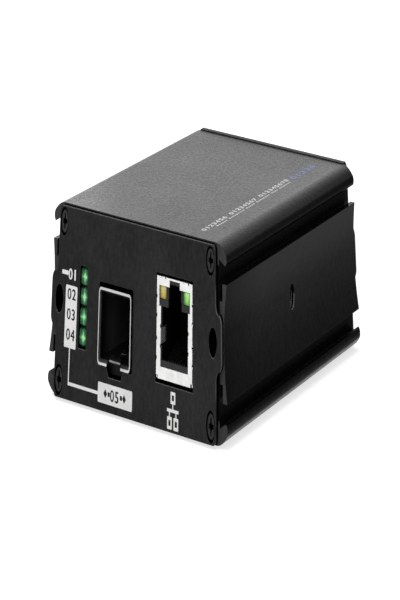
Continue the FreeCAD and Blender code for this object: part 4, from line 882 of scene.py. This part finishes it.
def module_label():
    """A patch under the module's cage: a number between dashes and diamonds, left open in it."""
    marks = [rounded_outline(strip_left, strip_low, strip_right, strip_high, patch_corner)]
    for diamond_x in (-12.68, -4.08):
        marks.append(diamond_outline(diamond_x, strip_middle, 0.85, 0.55))
    right_end = -6.15
    left = right_end - 2 * digit_pitch
    marks += number("05", strip_middle, right_end)
    marks.append(dash(left - 1.15, left - 0.15, strip_middle))
    marks.append(dash(-6.0, -5.0, strip_middle))
    return marks


def network_mark():
    """Three boxes joined by a branching line."""
    line = 0.40
    half = line / 2
    box_low, box_top, high_box_low = 0.53, 2.04, 3.61
    marks = []
    for left, low, right, high in ((16.85, high_box_low, 18.96, 5.10), (15.41, box_low, 17.48, box_top),
                                   (18.24, box_low, 20.34, box_top)):
        marks.append(rounded_outline(left, low, right, high, 0.15))
        marks.append(rounded_outline(left + line * 1.4, low + line, right - line * 1.4, high - line, 0.08))
    stem_x, branches = 17.88, (16.44, 19.29)
    bar_left, bar_right, bar_z = 15.32, 20.40, 2.8
    path = [(stem_x - half, high_box_low - 0.01), (stem_x - half, bar_z + half),
            (bar_left, bar_z + half), (bar_left, bar_z - half)]
    for branch_x in branches:
        path += [(branch_x - half, bar_z - half), (branch_x - half, box_top + 0.01),
                 (branch_x + half, box_top + 0.01), (branch_x + half, bar_z - half)]
    path += [(bar_right, bar_z - half), (bar_right, bar_z + half), (stem_x + half, bar_z + half),
             (stem_x + half, high_box_low - 0.01)]
    return marks + [path]


ink("print_lamp_label", lamp_label(), ON_FRONT, white_ink)
ink("print_lamp_one", first_lamp_words(), ON_FRONT, white_ink)
ink("print_guide_line", guide_line(), ON_FRONT, white_ink)
ink("print_module_label", module_label(), ON_FRONT, white_ink)
ink("print_network_mark", network_mark(), ON_FRONT, white_ink)


# ---------------------------------------------------------------- prints on the top
# They run from the front to the back: along starts at the plate's face, and low is the row's foot.
def number_row(words, along, pitch, gap, low, height, widened):
    """Groups of plain numerals in a row."""
    size = height / 0.7                # the font's numerals stand 0.7 of its size high
    marks = []
    along -= plate_face / MM
    for word in words:
        for digit in word:
            marks += numeral(digit, size, along, low, widened, bolder=(0.11, 0.07))
            along += pitch
        along += gap
    return marks


def dash_row(counts, along, pitch, gap, low):
    """Groups of small dashes in a row, each group with a taller one at its start."""
    width, height, tall_height = 0.85, 0.6, 0.85
    marks = []
    along -= plate_face / MM
    for count in counts:
        for place in range(count):
            tall = height if place else tall_height
            marks.append(rounded_outline(along, low, along + width, low + tall, min(width, tall) * 0.3))
            along += pitch
        along += gap
    return marks


grey_words = number_row(("0123456", "01234567", "012345678"), 8.6, 2.45, 2.6, -26.4, 1.9, 1.4)
small_words = dash_row((6, 9, 5, 8, 4, 7), 15.4, 1.27, 1.25, -28.1)
blue_word = number_row(("01234",), 74.0, 3.7, 0.0, -27.8, 2.7, 1.5)
ink("print_top_words", grey_words, ON_TOP, grey_ink)
ink("print_top_small_words", small_words, ON_TOP, grey_ink)
ink("print_top_blue_word", blue_word, ON_TOP, blue_ink)

# ---------------------------------------------------------------- floor and world
WHITE = (1.0, 1.0, 1.0, 1.0)


def seen_directly(tree):
    """1 for camera, mirror and see-through rays, and 0 for light that falls on the part."""
    path = add(tree, "LightPath")
    seen = maths(tree, "MAXIMUM", path.outputs["Is Camera Ray"], path.outputs["Is Glossy Ray"])
    return maths(tree, "MAXIMUM", seen, path.outputs["Is Transmission Ray"])


def pale_floor():
    """A matt pale floor that keeps the part's shadow and looks white, in mirrors as well."""
    made, tree = empty_material("floor_pale")
    matt = add(tree, "BsdfDiffuse")
    matt.inputs["Color"].default_value = (0.55, 0.55, 0.55, 1.0)
    lit = add(tree, "Emission")
    lit.inputs["Color"].default_value = WHITE
    join(tree, product(tree, seen_directly(tree), 0.72), lit.inputs["Strength"])
    both = add(tree, "AddShader")
    join(tree, matt.outputs["BSDF"], both.inputs[0])
    join(tree, lit.outputs["Emission"], both.inputs[1])
    show(tree, both.outputs["Shader"])
    return made


def studio_floor(radius=6.0, gap=0.3 * MM):
    """A round floor a hair's breadth under the part."""
    shape = bpy.data.meshes.new("studio_floor")
    work = bmesh.new()
    bmesh.ops.create_circle(work, cap_ends=True, radius=radius, segments=64)
    bmesh.ops.translate(work, verts=work.verts, vec=(0, 0, cad_box[0].z - gap))
    work.to_mesh(shape)
    work.free()
    shape.materials.append(pale_floor())
    floor = bpy.data.objects.new("studio_floor", shape)
    scene.collection.objects.link(floor)


def white_world(on_part=0.50):
    """A white surrounding that is seen at full strength and lights the part more weakly."""
    world = bpy.data.worlds.new("studio")
    scene.world = world
    world.use_nodes = True
    tree = world.node_tree
    tree.nodes.clear()
    even = add(tree, "Background")
    even.inputs["Color"].default_value = WHITE
    join(tree, ranged(tree, seen_directly(tree), 0.0, 1.0, on_part, 1.0), even.inputs["Strength"])
    join(tree, even.outputs["Background"], add(tree, "OutputWorld").inputs["Surface"])


studio_floor()
white_world()


# ---------------------------------------------------------------- lights
def soft_box(name, place, target, size, power):
    """A soft studio lamp that faces the target and doesn't show itself."""
    light = bpy.data.lights.new(name, "AREA")
    light.shape = "RECTANGLE"
    light.size, light.size_y = size
    light.energy = power
    holder = bpy.data.objects.new(name, light)
    holder.location = place
    aim = Vector(target) - Vector(place)
    holder.rotation_euler = aim.to_track_quat("-Z", "Y").to_euler()
    holder.visible_camera = False
    scene.collection.objects.link(holder)


soft_box("overhead_soft_box", (-0.25, 0.10, 1.05), (0, 0, 0), (1.1, 0.9), 5.7)
soft_box("front_soft_box", (0.12, -0.75, 0.42), (0, 0, 0.01), (0.5, 0.5), 2.7)
soft_box("right_soft_box", (1.2, 0.35, 0.7), (0, 0, 0.01), (0.6, 0.6), 1.9)
soft_box("rear_gleam_card", (-0.445, 0.42, 0.14), (0, 0, 0.03), (0.16, 0.16), 0.063)

# ---------------------------------------------------------------- camera
# The photograph is squeezed sideways to a third, so the camera's own sideways axis is kept and its
# other two axes are tilted towards each other, which repeats that squeeze about the true viewpoint.
view_place = (0.70694, -1.07797, 0.19338)
right_way = (27.0063, 0.9266)          # azimuth and elevation of the camera's own three axes
up_way = (303.3251, 27.3615)
back_way = (303.3988, 8.1375)


def axis_towards(azimuth, elevation):
    turn, rise = math.radians(azimuth), math.radians(elevation)
    return math.cos(turn) * math.cos(rise), math.sin(turn) * math.cos(rise), math.sin(rise)


axes = Matrix((axis_towards(*right_way), axis_towards(*up_way), axis_towards(*back_way))).transposed()
squeeze = bpy.data.objects.new("camera_squeeze", None)
scene.collection.objects.link(squeeze)
camera_data = bpy.data.cameras.new("camera")
camera_data.sensor_width = 36.0
camera_data.lens = 195.389
camera_data.clip_start = 0.1
camera_data.clip_end = 10.0
camera = bpy.data.objects.new("camera", camera_data)
scene.collection.objects.link(camera)
camera.parent = squeeze
camera.matrix_parent_inverse = Matrix.Translation(view_place) @ axes.to_4x4()
scene.camera = camera
scene.view_settings.view_transform = "Standard"

bpy.context.view_layer.update()
